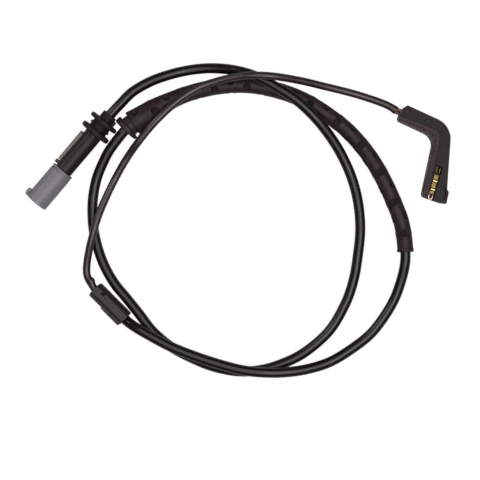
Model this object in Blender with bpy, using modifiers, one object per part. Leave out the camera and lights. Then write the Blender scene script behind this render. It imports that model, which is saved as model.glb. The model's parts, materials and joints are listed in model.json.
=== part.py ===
"""Brake pad wear sensor: a plug, a sheathed lead laid in a loop, a splice block and an L-shaped head.

Lengths are in metres, +Z is up and the table is z = 0. The lead lies as it would come to rest,
and the origin is on the table under the middle of the plug, sleeve, splice block and head.
"""
import math

import bmesh
import bpy
import numpy as np
from mathutils import Matrix, Vector

MM = 0.001

# Clearance between pieces that fit together
FIT = 0.3 * MM

# Cables
MAIN_DIAMETER = 5.15 * MM
BRANCH_DIAMETER = 3.8 * MM
CORE_DIAMETER = 1.5 * MM
CORE_PITCH = 1.9 * MM
MAIN_STATIONS = 80
BRANCH_STATIONS = 46
CURVE_STEPS = 16

# Plug: every station is measured along its axis from the mouth.
PLUG_MOUTH = (-101.4 * MM, -0.8 * MM)
PLUG_HEADING = math.radians(49.5)
SHELL_RADIUS = 5.85 * MM
SHELL_WALL = 1.2 * MM
SHELL_LENGTH = 21.0 * MM
SHELL_LUG = (3.2 * MM, 3.4 * MM, 1.7 * MM)
CARRIER_START = 6.0 * MM
CARRIER_GAP = 0.7 * MM
TERMINAL_RADIUS = 0.8 * MM
TERMINAL_BORE = 0.4 * MM
TERMINAL_SOCKET = 6.0 * MM
TERMINAL_LENGTH = 12.5 * MM
TERMINAL_PROUD = 0.6 * MM
FACE_SEAL_LENGTH = 2.6 * MM
FACE_SEAL_THICKNESS = 0.9 * MM
BARREL_RADIUS = 4.6 * MM
BARREL_NOSE_LENGTH = 3.8 * MM
BARREL_END = 44.5 * MM
BARREL_BORE_RADIUS = 3.0 * MM
SEAL_POCKET_RADIUS = 3.95 * MM
SEAL_POCKET_LENGTH = 9.0 * MM
SEAL_LENGTH = 5.0 * MM
RIB_WIDTH = 3.0 * MM
RIB_HEIGHT = 1.3 * MM
RIB_START = 24.2 * MM
RIB_LENGTH = 18.0 * MM
LATCH_NUB = (2.0 * MM, 2.4 * MM, 1.7 * MM)

# Bracket grommet behind the barrel, turned about the plug's axis.
FLANGE_RADIUS = 8.0 * MM
FLANGE_THICKNESS = 2.5 * MM
REAR_FLANGE_RADIUS = 7.8 * MM
REAR_FLANGE_THICKNESS = 2.1 * MM
GROOVE_WIDTH = 4.0 * MM
GROOVE_RADIUS = 4.9 * MM
GROOVE_RIB_RADIUS = 5.6 * MM
GROOVE_RIB_WIDTH = 1.1 * MM
COLLAR_RADIUS = 3.8 * MM
COLLAR_LENGTH = 4.1 * MM
EDGE = 0.5 * MM

# Protective sleeve with its own grommet and boot, moulded as one piece.
SLEEVE_RADIUS = 4.0 * MM
SLEEVE_LIP_RADIUS = 4.15 * MM
SLEEVE_LENGTH = 191.5 * MM
BOOT_FLANGE_RADIUS = 6.75 * MM
BOOT_FLANGE_THICKNESS = 2.5 * MM
BOOT_NECK_RADIUS = 5.1 * MM
BOOT_NECK_TAPER = 0.1 * MM
BOOT_NECK_LENGTH = 2.4 * MM
BOOT_RADIUS = 6.7 * MM
BOOT_LENGTH = 32.0 * MM
BOOT_TAPER = 1.6
DIMPLE_RADIUS = 1.6 * MM
DIMPLE_DEPTH = 0.65 * MM
DIMPLE_PITCH = 16.5 * MM
DIMPLE_ROWS = 6
DIMPLE_FIRST = 17.2 * MM
DIMPLE_TURNS = (math.radians(92), math.radians(47))

# Splice block, where the branch cable is joined to the main cable.
BLOCK_END = (-72.3 * MM, -43.9 * MM)
BLOCK_HEADING = math.radians(-45.0)
BLOCK_LENGTH = 21.5 * MM
BLOCK_WIDTH = 8.6 * MM
BLOCK_HEIGHT = 8.4 * MM
CAP_LENGTH = 7.5 * MM
CAP_WALL = 1.2 * MM
CAP_FLOOR = 2.6 * MM
NOSE_LENGTH = 4.0 * MM
NOSE_WALL = 0.7 * MM
CHAMBER_DEPTH = 7.5 * MM
CRIMP_RADIUS = 0.8 * MM
CRIMP_LENGTH = 6.0 * MM
CRIMP_PITCH = 2.1 * MM
WINDOW = (2.6 * MM, 2.2 * MM)
WINDOW_PLACE = (5.0 * MM, 1.7 * MM)
RAIL_SIZE = (12.0 * MM, 0.7 * MM, 2.4 * MM)

# Sensor head: its outline is measured from the middle of its cable end.
HEAD_END = (81.8 * MM, 43.8 * MM)
HEAD_HEIGHT = 7.6 * MM
WEB_HEIGHT = 5.4 * MM
ARM_HEADING = math.radians(-24.8)
CORE_HEIGHT = 2.7 * MM
CORE_BORE_DEPTH = 6.0 * MM
CORE_LEAD_IN = 4.5 * MM
BARE_LENGTH = 3.4 * MM
POCKET_TOP = (18.3 * MM, -26.4 * MM)
POCKET_HEADING = math.radians(-106.0)
POCKET_WIDTH = 3.4 * MM
POCKET_LENGTH = 16.4 * MM
POCKET_FLOOR = 2.4 * MM
SPRING_WIDTH = 2.2 * MM
SPRING_THICKNESS = 0.35 * MM
SPRING_START = 4.6 * MM
SPRING_LENGTH = 9.6 * MM
SPRING_FOLDS = (0.33, 0.78)
SPRING_FOLD_HEIGHT = 1.1 * MM
SPRING_FOLD_WIDTH = 1.5 * MM
BARREL_CRIMP_RADIUS = 0.68 * MM
BARREL_CRIMP_LENGTH = 3.0 * MM
LOOP_WIRE_RADIUS = 0.45 * MM
LOOP_REACH = 0.7 * MM

# Hand-chosen points of the lead's two routes, in millimetres, between the pieces that hold the ends.
MAIN_ROUTE_MM = [
    (-58.9, 48.5, 8.4), (-53.1, 54.3, 7.6), (-44.6, 59.4, 6.0), (-35.6, 62.9, 4.2), (-26.1, 65.3, 3.0),
    (-16.1, 66.4, 3.3), (-6.1, 65.8, 5.6), (3.2, 63.7, 8.7), (11.4, 60.3, 10.5), (19.4, 55.8, 11.0),
    (28.9, 49.6, 10.9), (38.6, 40.4, 9.6), (47.4, 29.2, 6.0), (53.7, 18.0, 3.3), (57.8, 7.0, 2.65),
    (60.0, -4.0, 2.65), (60.6, -15.0, 2.65), (59.5, -26.5, 2.65), (57.4, -39.0, 2.65),
    (53.2, -51.3, 2.65), (45.2, -64.8, 2.65), (33.4, -75.3, 2.65), (21.9, -81.3, 2.65),
    (10.6, -84.6, 2.65), (-1.1, -85.2, 2.65), (-13.1, -82.8, 2.65), (-23.6, -78.6, 2.65),
    (-33.6, -73.3, 2.65), (-43.1, -65.4, 2.65), (-50.3, -56.2, 2.65), (-56.5, -48.5, 2.65),
    (-62.4, -41.3, 2.65), (-67.3, -32.8, 2.65), (-70.8, -23.5, 2.65), (-72.9, -14.0, 2.65),
    (-73.5, -5.0, 2.65), (-73.0, 3.0, 2.8), (-71.1, 11.8, 3.4), (-67.5, 20.3, 4.6), (-63.9, 26.5, 5.8),
]
SLEEVE_ROUTE_MM = [
    (-56.5, 35.6, 7.1), (-50.1, 40.4, 7.0), (-43.1, 45.3, 6.5), (-35.6, 49.4, 5.5), (-25.6, 53.6, 4.5),
    (-14.1, 56.6, 4.2), (-3.6, 57.9, 4.2), (6.4, 57.7, 4.2), (16.4, 55.9, 4.2), (26.4, 52.9, 4.2),
    (35.9, 48.4, 4.2), (44.8, 42.6, 4.2), (53.3, 36.0, 4.2), (61.2, 27.5, 4.2), (67.7, 18.5, 4.2),
    (73.2, 8.5, 4.2), (77.6, -1.3, 4.2), (80.9, -10.0, 4.2), (82.5, -18.5, 4.3), (83.1, -26.5, 4.6),
]
TAIL_ROUTE_MM = [
    (82.7, -32.5, 4.4), (80.9, -40.3, 3.3), (77.6, -49.3, 2.65), (72.3, -58.3, 2.65),
    (65.3, -67.0, 2.65), (55.6, -74.5, 2.75), (45.4, -80.5, 3.5), (34.4, -83.9, 5.2), (23.4, -85.4, 6.9),
    (12.4, -85.5, 7.9), (1.4, -84.3, 8.0), (-9.6, -81.5, 8.0), (-21.9, -77.5, 8.05), (-34.6, -72.4, 8.05),
    (-47.3, -65.6, 7.5), (-53.2, -62.1, 5.9),
]
BRANCH_ROUTE_MM = [
    (-73.8, -41.6, 4.2), (-75.5, -38.8, 4.1), (-76.3, -35.5, 4.1), (-76.0, -30.5, 4.6),
    (-75.0, -25.0, 5.9), (-73.8, -20.0, 7.0), (-71.3, -10.8, 7.4), (-68.0, -1.8, 6.2),
    (-62.3, 10.5, 4.4), (-56.2, 21.0, 6.3), (-49.6, 29.9, 10.3), (-41.6, 39.2, 12.4), (-31.4, 48.8, 11.6),
    (-20.6, 55.9, 10.7), (-11.1, 59.3, 10.9), (-1.6, 61.3, 12.9), (7.9, 61.9, 15.2), (17.9, 61.4, 14.5),
    (30.4, 59.7, 9.8), (42.9, 57.1, 5.6), (55.9, 54.1, 3.0), (65.9, 51.1, 2.3), (73.9, 48.1, 2.5),
]


def material(name, colour, roughness, metallic=0.0):
    """A Principled material with one colour."""
    made = bpy.data.materials.new(name)
    made.use_nodes = True
    shader = made.node_tree.nodes["Principled BSDF"]
    shader.inputs["Base Color"].default_value = (*colour, 1.0)
    shader.inputs["Roughness"].default_value = roughness
    shader.inputs["Metallic"].default_value = metallic
    return made


def collection(name):
    made = bpy.data.collections.new(name)
    bpy.context.scene.collection.children.link(made)
    return made


def clear_scene():
    for old in list(bpy.data.objects):
        bpy.data.objects.remove(old, do_unlink=True)


clear_scene()
PARTS = collection("brake_pad_wear_sensor")
GUIDES = collection("cutters_and_guides")

GREY_PLASTIC = material("grey_plastic", (0.28, 0.27, 0.29), 0.45)
BLACK_PLASTIC = material("black_plastic", (0.03, 0.028, 0.028), 0.5)
BLACK_RUBBER = material("black_rubber", (0.025, 0.022, 0.022), 0.65)
CABLE_JACKET = material("cable_jacket", (0.012, 0.011, 0.012), 0.3)
SEAL_RUBBER = material("seal_rubber", (0.25, 0.05, 0.02), 0.6)
TINNED = material("tinned_contact", (0.62, 0.6, 0.56), 0.35, 1.0)
BRASS = material("brass", (0.65, 0.45, 0.18), 0.35, 1.0)
COPPER = material("copper", (0.75, 0.42, 0.3), 0.4, 1.0)
CORE_BROWN = material("core_brown", (0.16, 0.035, 0.025), 0.4)
CORE_BLACK = material("core_black", (0.02, 0.018, 0.02), 0.4)


def add(name, data, parent=None, finish=None, matrix=None):
    """An object on a mesh or curve; without a finish it is a cutter or a guide."""
    made = bpy.data.objects.new(name, data)
    (PARTS if finish else GUIDES).objects.link(made)
    made.parent = parent
    if matrix is not None:
        made.matrix_local = matrix
    if finish:
        data.materials.append(finish)
    else:
        made.hide_render = True
        made.display_type = "WIRE"
    return made


def frame_at(name, matrix):
    """An empty that carries one assembly."""
    made = bpy.data.objects.new(name, None)
    PARTS.objects.link(made)
    made.matrix_world = matrix
    return made


def shade(mesh):
    mesh.shade_smooth()
    mesh.set_sharp_from_angle(angle=math.radians(35))


def turned(name, profile, parent, finish=None, matrix=None, steps=24):
    """A ring of (radius, height) points, outer side first from the top down, turned about Z."""
    rim = list(profile)
    closed = min(radius for radius, _ in rim) > 0
    edges = [(i, i + 1) for i in range(len(rim) - 1)] + ([(len(rim) - 1, 0)] if closed else [])
    mesh = bpy.data.meshes.new(name)
    mesh.from_pydata([(radius, 0, height) for radius, height in rim], edges, [])
    made = add(name, mesh, parent, finish, matrix)
    screw = made.modifiers.new("turn", "SCREW")
    screw.axis = "Z"
    screw.angle = math.tau
    screw.steps = steps
    screw.render_steps = steps
    screw.use_merge_vertices = True
    screw.merge_threshold = 0.00001
    screw.use_smooth_shade = True
    return made


def block(name, low, high, parent, finish=None, matrix=None, edge=0.0, segments=2):
    """A box between two corners, with rounded edges if it has an edge radius."""
    low, high = Vector(low), Vector(high)
    size = Matrix.Diagonal((*(high - low), 1.0))
    mesh = bpy.data.meshes.new(name)
    body = bmesh.new()
    bmesh.ops.create_cube(body, size=1.0, matrix=Matrix.Translation((low + high) / 2) @ size)
    body.to_mesh(mesh)
    body.free()
    made = add(name, mesh, parent, finish, matrix)
    if edge:
        round_edges(made, edge, segments)
    return made


def rod(name, radius, start, end, parent, finish=None, matrix=None, sides=16):
    """A cylinder along local Z from start to end."""
    mesh = bpy.data.meshes.new(name)
    body = bmesh.new()
    place = Matrix.Translation((0, 0, (start + end) / 2))
    bmesh.ops.create_cone(
        body, cap_ends=True, segments=sides, radius1=radius, radius2=radius, depth=end - start, matrix=place
    )
    body.to_mesh(mesh)
    body.free()
    shade(mesh)
    return add(name, mesh, parent, finish, matrix)


def round_edges(made, width, segments=2):
    bevel = made.modifiers.new("round edges", "BEVEL")
    bevel.width = width
    bevel.segments = segments
    bevel.limit_method = "ANGLE"
    bevel.angle_limit = math.radians(40)


def combine(made, other, operation="DIFFERENCE"):
    change = made.modifiers.new(operation.lower(), "BOOLEAN")
    change.operation = operation
    change.solver = "EXACT"
    change.object = other


def rounded(corners, steps=6):
    """An outline from (x, y, fillet radius) corners, where each fillet is an arc of a few points."""
    points = []
    count = len(corners)
    for i, (x, y, radius) in enumerate(corners):
        here = Vector((x, y))
        if not radius:
            points.append(here)
            continue
        before = (Vector(corners[i - 1][:2]) - here).normalized()
        after = (Vector(corners[(i + 1) % count][:2]) - here).normalized()
        half = before.angle(after) / 2
        centre = here + (before + after).normalized() * radius / math.sin(half)
        first = here + before * radius / math.tan(half) - centre
        last = here + after * radius / math.tan(half) - centre
        sweep = first.angle_signed(last)
        points += [centre + Matrix.Rotation(-sweep * k / steps, 2) @ first for k in range(steps + 1)]
    return points


def plate(name, outline, low, high, parent, finish=None, matrix=None):
    """A flat outline of (x, y) points carried from one height to another, as a mesh."""
    curve = bpy.data.curves.new(name, "CURVE")
    curve.dimensions = "2D"
    curve.fill_mode = "BOTH"
    curve.extrude = (high - low) / 2
    spline = curve.splines.new("POLY")
    spline.points.add(len(outline) - 1)
    for point, (x, y) in zip(spline.points, outline):
        point.co = (x, y, 0, 1)
    spline.use_cyclic_u = True
    flat = bpy.data.objects.new(name, curve)
    GUIDES.objects.link(flat)
    mesh = bpy.data.meshes.new_from_object(flat.evaluated_get(bpy.context.evaluated_depsgraph_get()))
    bpy.data.objects.remove(flat, do_unlink=True)
    body = bmesh.new()
    body.from_mesh(mesh)
    bmesh.ops.remove_doubles(body, verts=body.verts, dist=0.000001)
    bmesh.ops.translate(body, verts=body.verts, vec=(0, 0, (low + high) / 2))
    bmesh.ops.dissolve_limit(body, angle_limit=0.001, verts=body.verts, edges=body.edges)
    body.to_mesh(mesh)
    body.free()
    mesh.name = name
    return add(name, mesh, parent, finish, matrix)


def smooth_route(points, count, held_first=0, held_last=0):
    """Points of one Catmull-Rom curve through the given ones, equally spaced between the held ends.

    The first and last few given points, which lie inside the pieces that hold the cable, are kept.
    """
    knots = np.array([tuple(p) for p in points])
    knots = np.vstack([2 * knots[0] - knots[1], knots, 2 * knots[-1] - knots[-2]])
    steps = np.linspace(0, 1, CURVE_STEPS, endpoint=False)[:, None]
    a, b, c, d = knots[:-3, None], knots[1:-2, None], knots[2:-1, None], knots[3:, None]
    curve = b + 0.5 * steps * (c - a + steps * (2 * a - 5 * b + 4 * c - d + steps * (3 * b - a - 3 * c + d)))
    curve = np.vstack([curve.reshape(-1, 3), knots[-2]])
    travel = travelled(curve)
    at_knots = travel[::CURVE_STEPS]
    last = len(at_knots) - 1 - held_last
    free = np.linspace(at_knots[held_first], at_knots[last], count - held_first - held_last)
    stations = np.concatenate([at_knots[:held_first], free, at_knots[last + 1:]])
    return np.stack([np.interp(stations, travel, curve[:, axis]) for axis in range(3)], axis=1)


def travelled(route):
    """The length from the route's start to each of its points."""
    return np.concatenate([[0], np.cumsum(np.linalg.norm(np.diff(route, axis=0), axis=1))])


def tube(name, route, radius, finish=None, sides=3):
    """A cable: a polyline curve with a round bevel and filled caps, or a bare guide."""
    curve = bpy.data.curves.new(name, "CURVE")
    curve.dimensions = "3D"
    curve.bevel_depth = radius
    curve.bevel_resolution = sides
    curve.use_fill_caps = radius > 0
    spline = curve.splines.new("POLY")
    spline.points.add(len(route) - 1)
    for point, place in zip(spline.points, route):
        point.co = (*place, 1)
    return add(name, curve, None, finish)


def in_metres(points):
    return [Vector(p) * MM for p in points]


def along(frame, distance, across=(0.0, 0.0)):
    """A world point on an assembly's axis, which is its local Z."""
    return frame.matrix_world @ Vector((across[0], across[1], distance))


def lying_axis(place, height, heading, rise=0.0):
    """A frame whose Z runs along a heading and whose X points up."""
    flat = Vector((math.cos(heading), math.sin(heading), 0))
    axis = flat * math.cos(rise) + Vector((0, 0, math.sin(rise)))
    up = Vector((0, 0, math.cos(rise))) - flat * math.sin(rise)
    side = axis.cross(up)
    turn = Matrix((up, side, axis)).transposed().to_4x4()
    return Matrix.Translation((place[0], place[1], height)) @ turn


# Where each station of the plug follows from its sizes.
SHELL_BORE = SHELL_RADIUS - SHELL_WALL
CARRIER_RADIUS = SHELL_BORE - FIT
NOSE_RADIUS = SHELL_BORE - FIT
BARREL_START = SHELL_LENGTH + FIT
NOSE_START = SHELL_LENGTH - BARREL_NOSE_LENGTH
FLANGE_START = BARREL_END + FIT
MAIN_BORE = MAIN_DIAMETER / 2 + FIT
BRANCH_BORE = BRANCH_DIAMETER / 2 + FIT
CABLE_START = BARREL_END - SEAL_POCKET_LENGTH + FIT
GROMMET_LENGTH = FLANGE_THICKNESS + GROOVE_WIDTH + REAR_FLANGE_THICKNESS + COLLAR_LENGTH
PLUG_RISE = math.atan2(FLANGE_RADIUS - SHELL_RADIUS, FLANGE_START)


def make_plug():
    """Shell, carrier, terminals, seals, barrel and bracket grommet, all on one axis."""
    frame = frame_at(
        "plug_axis", lying_axis(PLUG_MOUTH, SHELL_RADIUS * math.cos(PLUG_RISE), PLUG_HEADING, PLUG_RISE)
    )
    edge = EDGE
    shell = turned(
        "plug_shell",
        [
            (SHELL_RADIUS - edge, SHELL_LENGTH), (SHELL_RADIUS, SHELL_LENGTH - edge),
            (SHELL_RADIUS, edge / 2), (SHELL_RADIUS - edge / 2, 0), (SHELL_BORE + edge / 2, 0),
            (SHELL_BORE, edge / 2), (SHELL_BORE, SHELL_LENGTH),
        ],
        frame, GREY_PLASTIC, steps=32,
    )
    length, width, height = SHELL_LUG
    lug = block(
        "lug", (-width / 2, -SHELL_RADIUS - height, edge / 2),
        (width / 2, -SHELL_BORE - SHELL_WALL / 3, length), frame, edge=edge / 2, segments=1,
    )
    combine(shell, lug, "UNION")

    carrier_end = NOSE_START - CARRIER_GAP
    carrier = rod(
        "contact_carrier", CARRIER_RADIUS, CARRIER_START, carrier_end, frame, BLACK_PLASTIC, sides=24
    )
    seal_end = carrier_end - 2 * FIT
    seal_start = seal_end - FACE_SEAL_LENGTH
    seal_inner = CARRIER_RADIUS - FACE_SEAL_THICKNESS
    groove = turned(
        "carrier_groove",
        [
            (SHELL_RADIUS, seal_end + FIT), (SHELL_RADIUS, seal_start - FIT),
            (seal_inner - FIT, seal_start - FIT), (seal_inner - FIT, seal_end + FIT),
        ],
        frame,
    )
    combine(carrier, groove)
    turned(
        "face_seal",
        [
            (CARRIER_RADIUS, seal_end), (CARRIER_RADIUS, seal_start), (seal_inner, seal_start),
            (seal_inner, seal_end),
        ],
        frame, SEAL_RUBBER,
    )
    for number, side in ((1, -1), (2, 1)):
        offset = Matrix.Translation((0, side * CORE_PITCH, 0))
        hole = rod(f"terminal_hole_{number}", TERMINAL_RADIUS + FIT, 0, SHELL_LENGTH, frame, matrix=offset)
        combine(carrier, hole)
        start = CARRIER_START - TERMINAL_PROUD
        floor = start + TERMINAL_SOCKET
        turned(
            f"terminal_{number}",
            [
                (0, start + TERMINAL_LENGTH), (TERMINAL_RADIUS, start + TERMINAL_LENGTH),
                (TERMINAL_RADIUS, start + edge / 2), (TERMINAL_RADIUS - edge / 4, start),
                (TERMINAL_BORE, start), (TERMINAL_BORE, floor), (0, floor),
            ],
            frame, TINNED, offset, steps=16,
        )
        rod(
            f"plug_core_{number}", CORE_DIAMETER / 2, start + TERMINAL_LENGTH + FIT, CABLE_START - FIT, frame,
            CORE_BROWN if number == 1 else CORE_BLACK,
            Matrix.Translation((0, side * (CORE_DIAMETER / 2 + FIT), 0)), sides=12,
        )

    barrel = turned(
        "barrel",
        [
            (BARREL_RADIUS, BARREL_END), (BARREL_RADIUS, BARREL_START + edge),
            (BARREL_RADIUS - edge, BARREL_START), (NOSE_RADIUS, BARREL_START), (NOSE_RADIUS, NOSE_START),
            (BARREL_BORE_RADIUS, NOSE_START),
            (BARREL_BORE_RADIUS, BARREL_END - SEAL_POCKET_LENGTH),
            (SEAL_POCKET_RADIUS, BARREL_END - SEAL_POCKET_LENGTH), (SEAL_POCKET_RADIUS, BARREL_END),
        ],
        frame, BLACK_PLASTIC, steps=32,
    )
    rib = block(
        "rib", (-RIB_WIDTH / 2, -BARREL_RADIUS - RIB_HEIGHT, RIB_START),
        (RIB_WIDTH / 2, -BARREL_RADIUS + FIT, RIB_START + RIB_LENGTH), frame, edge=edge / 2, segments=1,
    )
    combine(barrel, rib, "UNION")
    length, width, height = LATCH_NUB
    nub = block(
        "latch_nub", (-width / 2, -BARREL_RADIUS - height, BARREL_START + edge),
        (width / 2, -BARREL_RADIUS + FIT, BARREL_START + edge + length), frame, edge=edge / 2, segments=1,
    )
    combine(barrel, nub, "UNION")

    seal_end = BARREL_END - FIT
    turned(
        "cable_seal",
        [
            (SEAL_POCKET_RADIUS - FIT, seal_end), (SEAL_POCKET_RADIUS - FIT, seal_end - SEAL_LENGTH),
            (MAIN_BORE, seal_end - SEAL_LENGTH), (MAIN_BORE, seal_end),
        ],
        frame, SEAL_RUBBER,
    )
    stations = [
        (FLANGE_RADIUS, FLANGE_THICKNESS), (GROOVE_RADIUS, (GROOVE_WIDTH - GROOVE_RIB_WIDTH) / 2),
        (GROOVE_RIB_RADIUS, GROOVE_RIB_WIDTH), (GROOVE_RADIUS, (GROOVE_WIDTH - GROOVE_RIB_WIDTH) / 2),
        (REAR_FLANGE_RADIUS, REAR_FLANGE_THICKNESS), (COLLAR_RADIUS, COLLAR_LENGTH),
    ]
    outer = []
    place = FLANGE_START
    for radius, width in stations:
        cut = edge if radius >= REAR_FLANGE_RADIUS or radius == COLLAR_RADIUS else 0
        outer += [(radius - cut, place), (radius, place + cut), (radius, place + width - cut)]
        outer += [(radius - cut, place + width)]
        place += width
    outer = [point for i, point in enumerate(outer) if i == 0 or point != outer[i - 1]]
    profile = outer[::-1] + [(MAIN_BORE, FLANGE_START), (MAIN_BORE, place)]
    turned("bracket_grommet", profile, frame, BLACK_RUBBER, steps=32)
    return frame


def boot_radius(share):
    """The boot's outer radius at a share of its length, from the flange end to the plain sleeve."""
    return SLEEVE_RADIUS + (BOOT_RADIUS - SLEEVE_RADIUS) * (1 - share) ** BOOT_TAPER


def make_sleeve(route):
    """The sleeve is turned and dimpled straight along Z, then bent along the main cable's route."""
    travel = travelled(route)
    # The sleeve starts where the route passes the first of its own points.
    stations = np.arange(0, travel[-1], FIT)
    places = np.stack([np.interp(stations, travel, route[:, axis]) for axis in range(3)], axis=1)
    start = stations[np.argmin(np.linalg.norm(places - np.array(SLEEVE_ROUTE_MM[0]) * MM, axis=1))]
    end = start + SLEEVE_LENGTH
    boot_start = start + BOOT_FLANGE_THICKNESS + BOOT_NECK_LENGTH
    straight_start = boot_start + BOOT_LENGTH
    taper = [(boot_radius(share), boot_start + share * BOOT_LENGTH) for share in np.linspace(0, 1, 8)]
    bends = [height for height in travel if start < height < end]
    straight = [height for height in bends if height > straight_start + EDGE]
    outer = [
        (BOOT_FLANGE_RADIUS - EDGE, start), (BOOT_FLANGE_RADIUS, start + EDGE),
        (BOOT_FLANGE_RADIUS, start + BOOT_FLANGE_THICKNESS - EDGE),
        (BOOT_FLANGE_RADIUS - EDGE, start + BOOT_FLANGE_THICKNESS),
        (BOOT_NECK_RADIUS, start + BOOT_FLANGE_THICKNESS),
        (BOOT_NECK_RADIUS - BOOT_NECK_TAPER, boot_start),
        (BOOT_RADIUS - EDGE, boot_start), (BOOT_RADIUS, boot_start + EDGE),
    ]
    outer += taper[1:] + [(SLEEVE_RADIUS, height) for height in straight]
    outer += [(SLEEVE_LIP_RADIUS, end - EDGE), (SLEEVE_LIP_RADIUS, end)]
    inner = [(MAIN_BORE, height) for height in [start, *bends, end]]
    sleeve = turned("protective_sleeve", outer[::-1] + inner, None, BLACK_RUBBER, steps=16)

    cutters = bmesh.new()
    place = start + DIMPLE_FIRST
    while place < end - DIMPLE_PITCH / 2:
        for row in range(DIMPLE_ROWS):
            # Every second row is turned and set half a pitch back.
            height = place - (row % 2) * DIMPLE_PITCH / 2
            if height > end - DIMPLE_PITCH / 2:
                continue
            share = min(1.0, max(0.0, (height - boot_start) / BOOT_LENGTH))
            angle = DIMPLE_TURNS[row % 2] + math.tau * (row // 2) / (DIMPLE_ROWS // 2)
            turn = Matrix.Rotation(angle, 4, "Z")
            reach = boot_radius(share) - DIMPLE_DEPTH + BOOT_FLANGE_THICKNESS
            lay = Matrix.Translation((reach, 0, height)) @ Matrix.Rotation(math.pi / 2, 4, "Y")
            bmesh.ops.create_cone(
                cutters, cap_ends=True, segments=8, radius1=DIMPLE_RADIUS, radius2=DIMPLE_RADIUS,
                depth=2 * BOOT_FLANGE_THICKNESS, matrix=turn @ lay,
            )
        place += DIMPLE_PITCH
    mesh = bpy.data.meshes.new("dimples")
    cutters.to_mesh(mesh)
    cutters.free()
    combine(sleeve, add("dimples", mesh))
    path = tube("sleeve_path", route, 0.0)
    bend = sleeve.modifiers.new("bend", "CURVE")
    bend.object = path
    bend.deform_axis = "POS_Z"
    return sleeve


def make_splice_block():
    """The cap takes the branch cable, the housing takes the main cable and holds both splices."""
    middle = BLOCK_HEIGHT / 2
    frame = frame_at("splice_axis", lying_axis(BLOCK_END, middle, BLOCK_HEADING))
    half = BLOCK_WIDTH / 2
    edge = 2 * EDGE
    low, high = (-middle, -half, 0), (middle, half, CAP_LENGTH)
    cap = block("splice_cap", low, high, frame, BLACK_PLASTIC, edge=edge)
    tall, wide = middle - CAP_WALL, half - CAP_WALL
    combine(cap, block("cap_pocket", (-tall, -wide, CAP_FLOOR), (tall, wide, BLOCK_LENGTH), frame))
    combine(cap, rod("branch_hole", BRANCH_BORE, -CAP_FLOOR, 2 * CAP_FLOOR, frame))
    place, side = WINDOW_PLACE
    width, length = WINDOW
    window = block(
        "window", (0, -side - width / 2, place - length / 2),
        (BLOCK_HEIGHT, -side + width / 2, place + length / 2), frame,
    )
    combine(cap, window)

    start = CAP_LENGTH + FIT
    low, high = (-middle, -half, start), (middle, half, BLOCK_LENGTH)
    housing = block("splice_housing", low, high, frame, BLACK_PLASTIC, edge=edge)
    tall, wide = tall - FIT, wide - FIT
    nose = block("housing_nose", (-tall, -wide, start - NOSE_LENGTH), (tall, wide, start + edge), frame)
    combine(housing, nose, "UNION")
    depth, proud, height = RAIL_SIZE
    rail = block(
        "housing_rail", (-middle + EDGE, half - proud, BLOCK_LENGTH - depth - EDGE),
        (-middle + EDGE + height, half + proud, BLOCK_LENGTH - EDGE), frame, edge=EDGE / 2, segments=1,
    )
    combine(housing, rail, "UNION")
    tall, wide = tall - NOSE_WALL, wide - NOSE_WALL
    chamber_end = start + CHAMBER_DEPTH
    combine(housing, block("splice_chamber", (-tall, -wide, 0), (tall, wide, chamber_end), frame))
    combine(housing, rod("main_hole", MAIN_BORE, start, BLOCK_LENGTH + CAP_LENGTH, frame, sides=24))
    for number, side in ((1, -1), (2, 1)):
        offset = Matrix.Translation((0, side * CRIMP_PITCH / 2, 0))
        turned(
            f"splice_crimp_{number}",
            [
                (CRIMP_RADIUS, chamber_end - FIT), (CRIMP_RADIUS, chamber_end - FIT - CRIMP_LENGTH),
                (CRIMP_RADIUS / 2, chamber_end - FIT - CRIMP_LENGTH), (CRIMP_RADIUS / 2, chamber_end - FIT),
            ],
            frame, TINNED, offset, steps=12,
        )
    return frame, chamber_end + FIT, CAP_FLOOR


HEAD_OUTLINE = [
    (-0.4, 2.35, 0), (2.3, 4.05, 0.6), (24.35, -6.1, 10.8), (22.4, -33.3, 0), (22.1, -38.0, 0),
    (23.0, -39.3, 0.3), (21.75, -45.3, 0.5), (18.45, -44.9, 0), (9.0, -41.6, 1.8), (15.25, -12.2, 6.5),
    (-2.3, -4.05, 0.6), (-2.8, -2.3, 0),
]
WEB_OUTLINE = [
    (-8.0, 0.48, 0), (18.4, -9.5, 4.5), (10.9, -50.0, 0), (35.0, -50.0, 0), (35.0, 12.0, 0), (-8.0, 12.0, 0),
]
MOULD_PINS = [(11.0, -3.65), (18.45, -9.45), (22.2, -15.85), (20.6, -36.6)]
MOULD_PIN_RADIUS = 0.55 * MM
MOULD_PIN_DEPTH = 1.2 * MM
GATE_MARK = (4.55, 0.7)
GATE_MARK_RADIUS = 1.2 * MM
GATE_MARK_HEIGHT = 0.35 * MM
TAB_SLOT = ((21.5, -37.4), (20.8, -43.4), 0.5)


def in_plan(points):
    """Outline corners in millimetres made metres; a third value is a fillet radius."""
    return [tuple(value * MM for value in point) for point in points]


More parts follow.
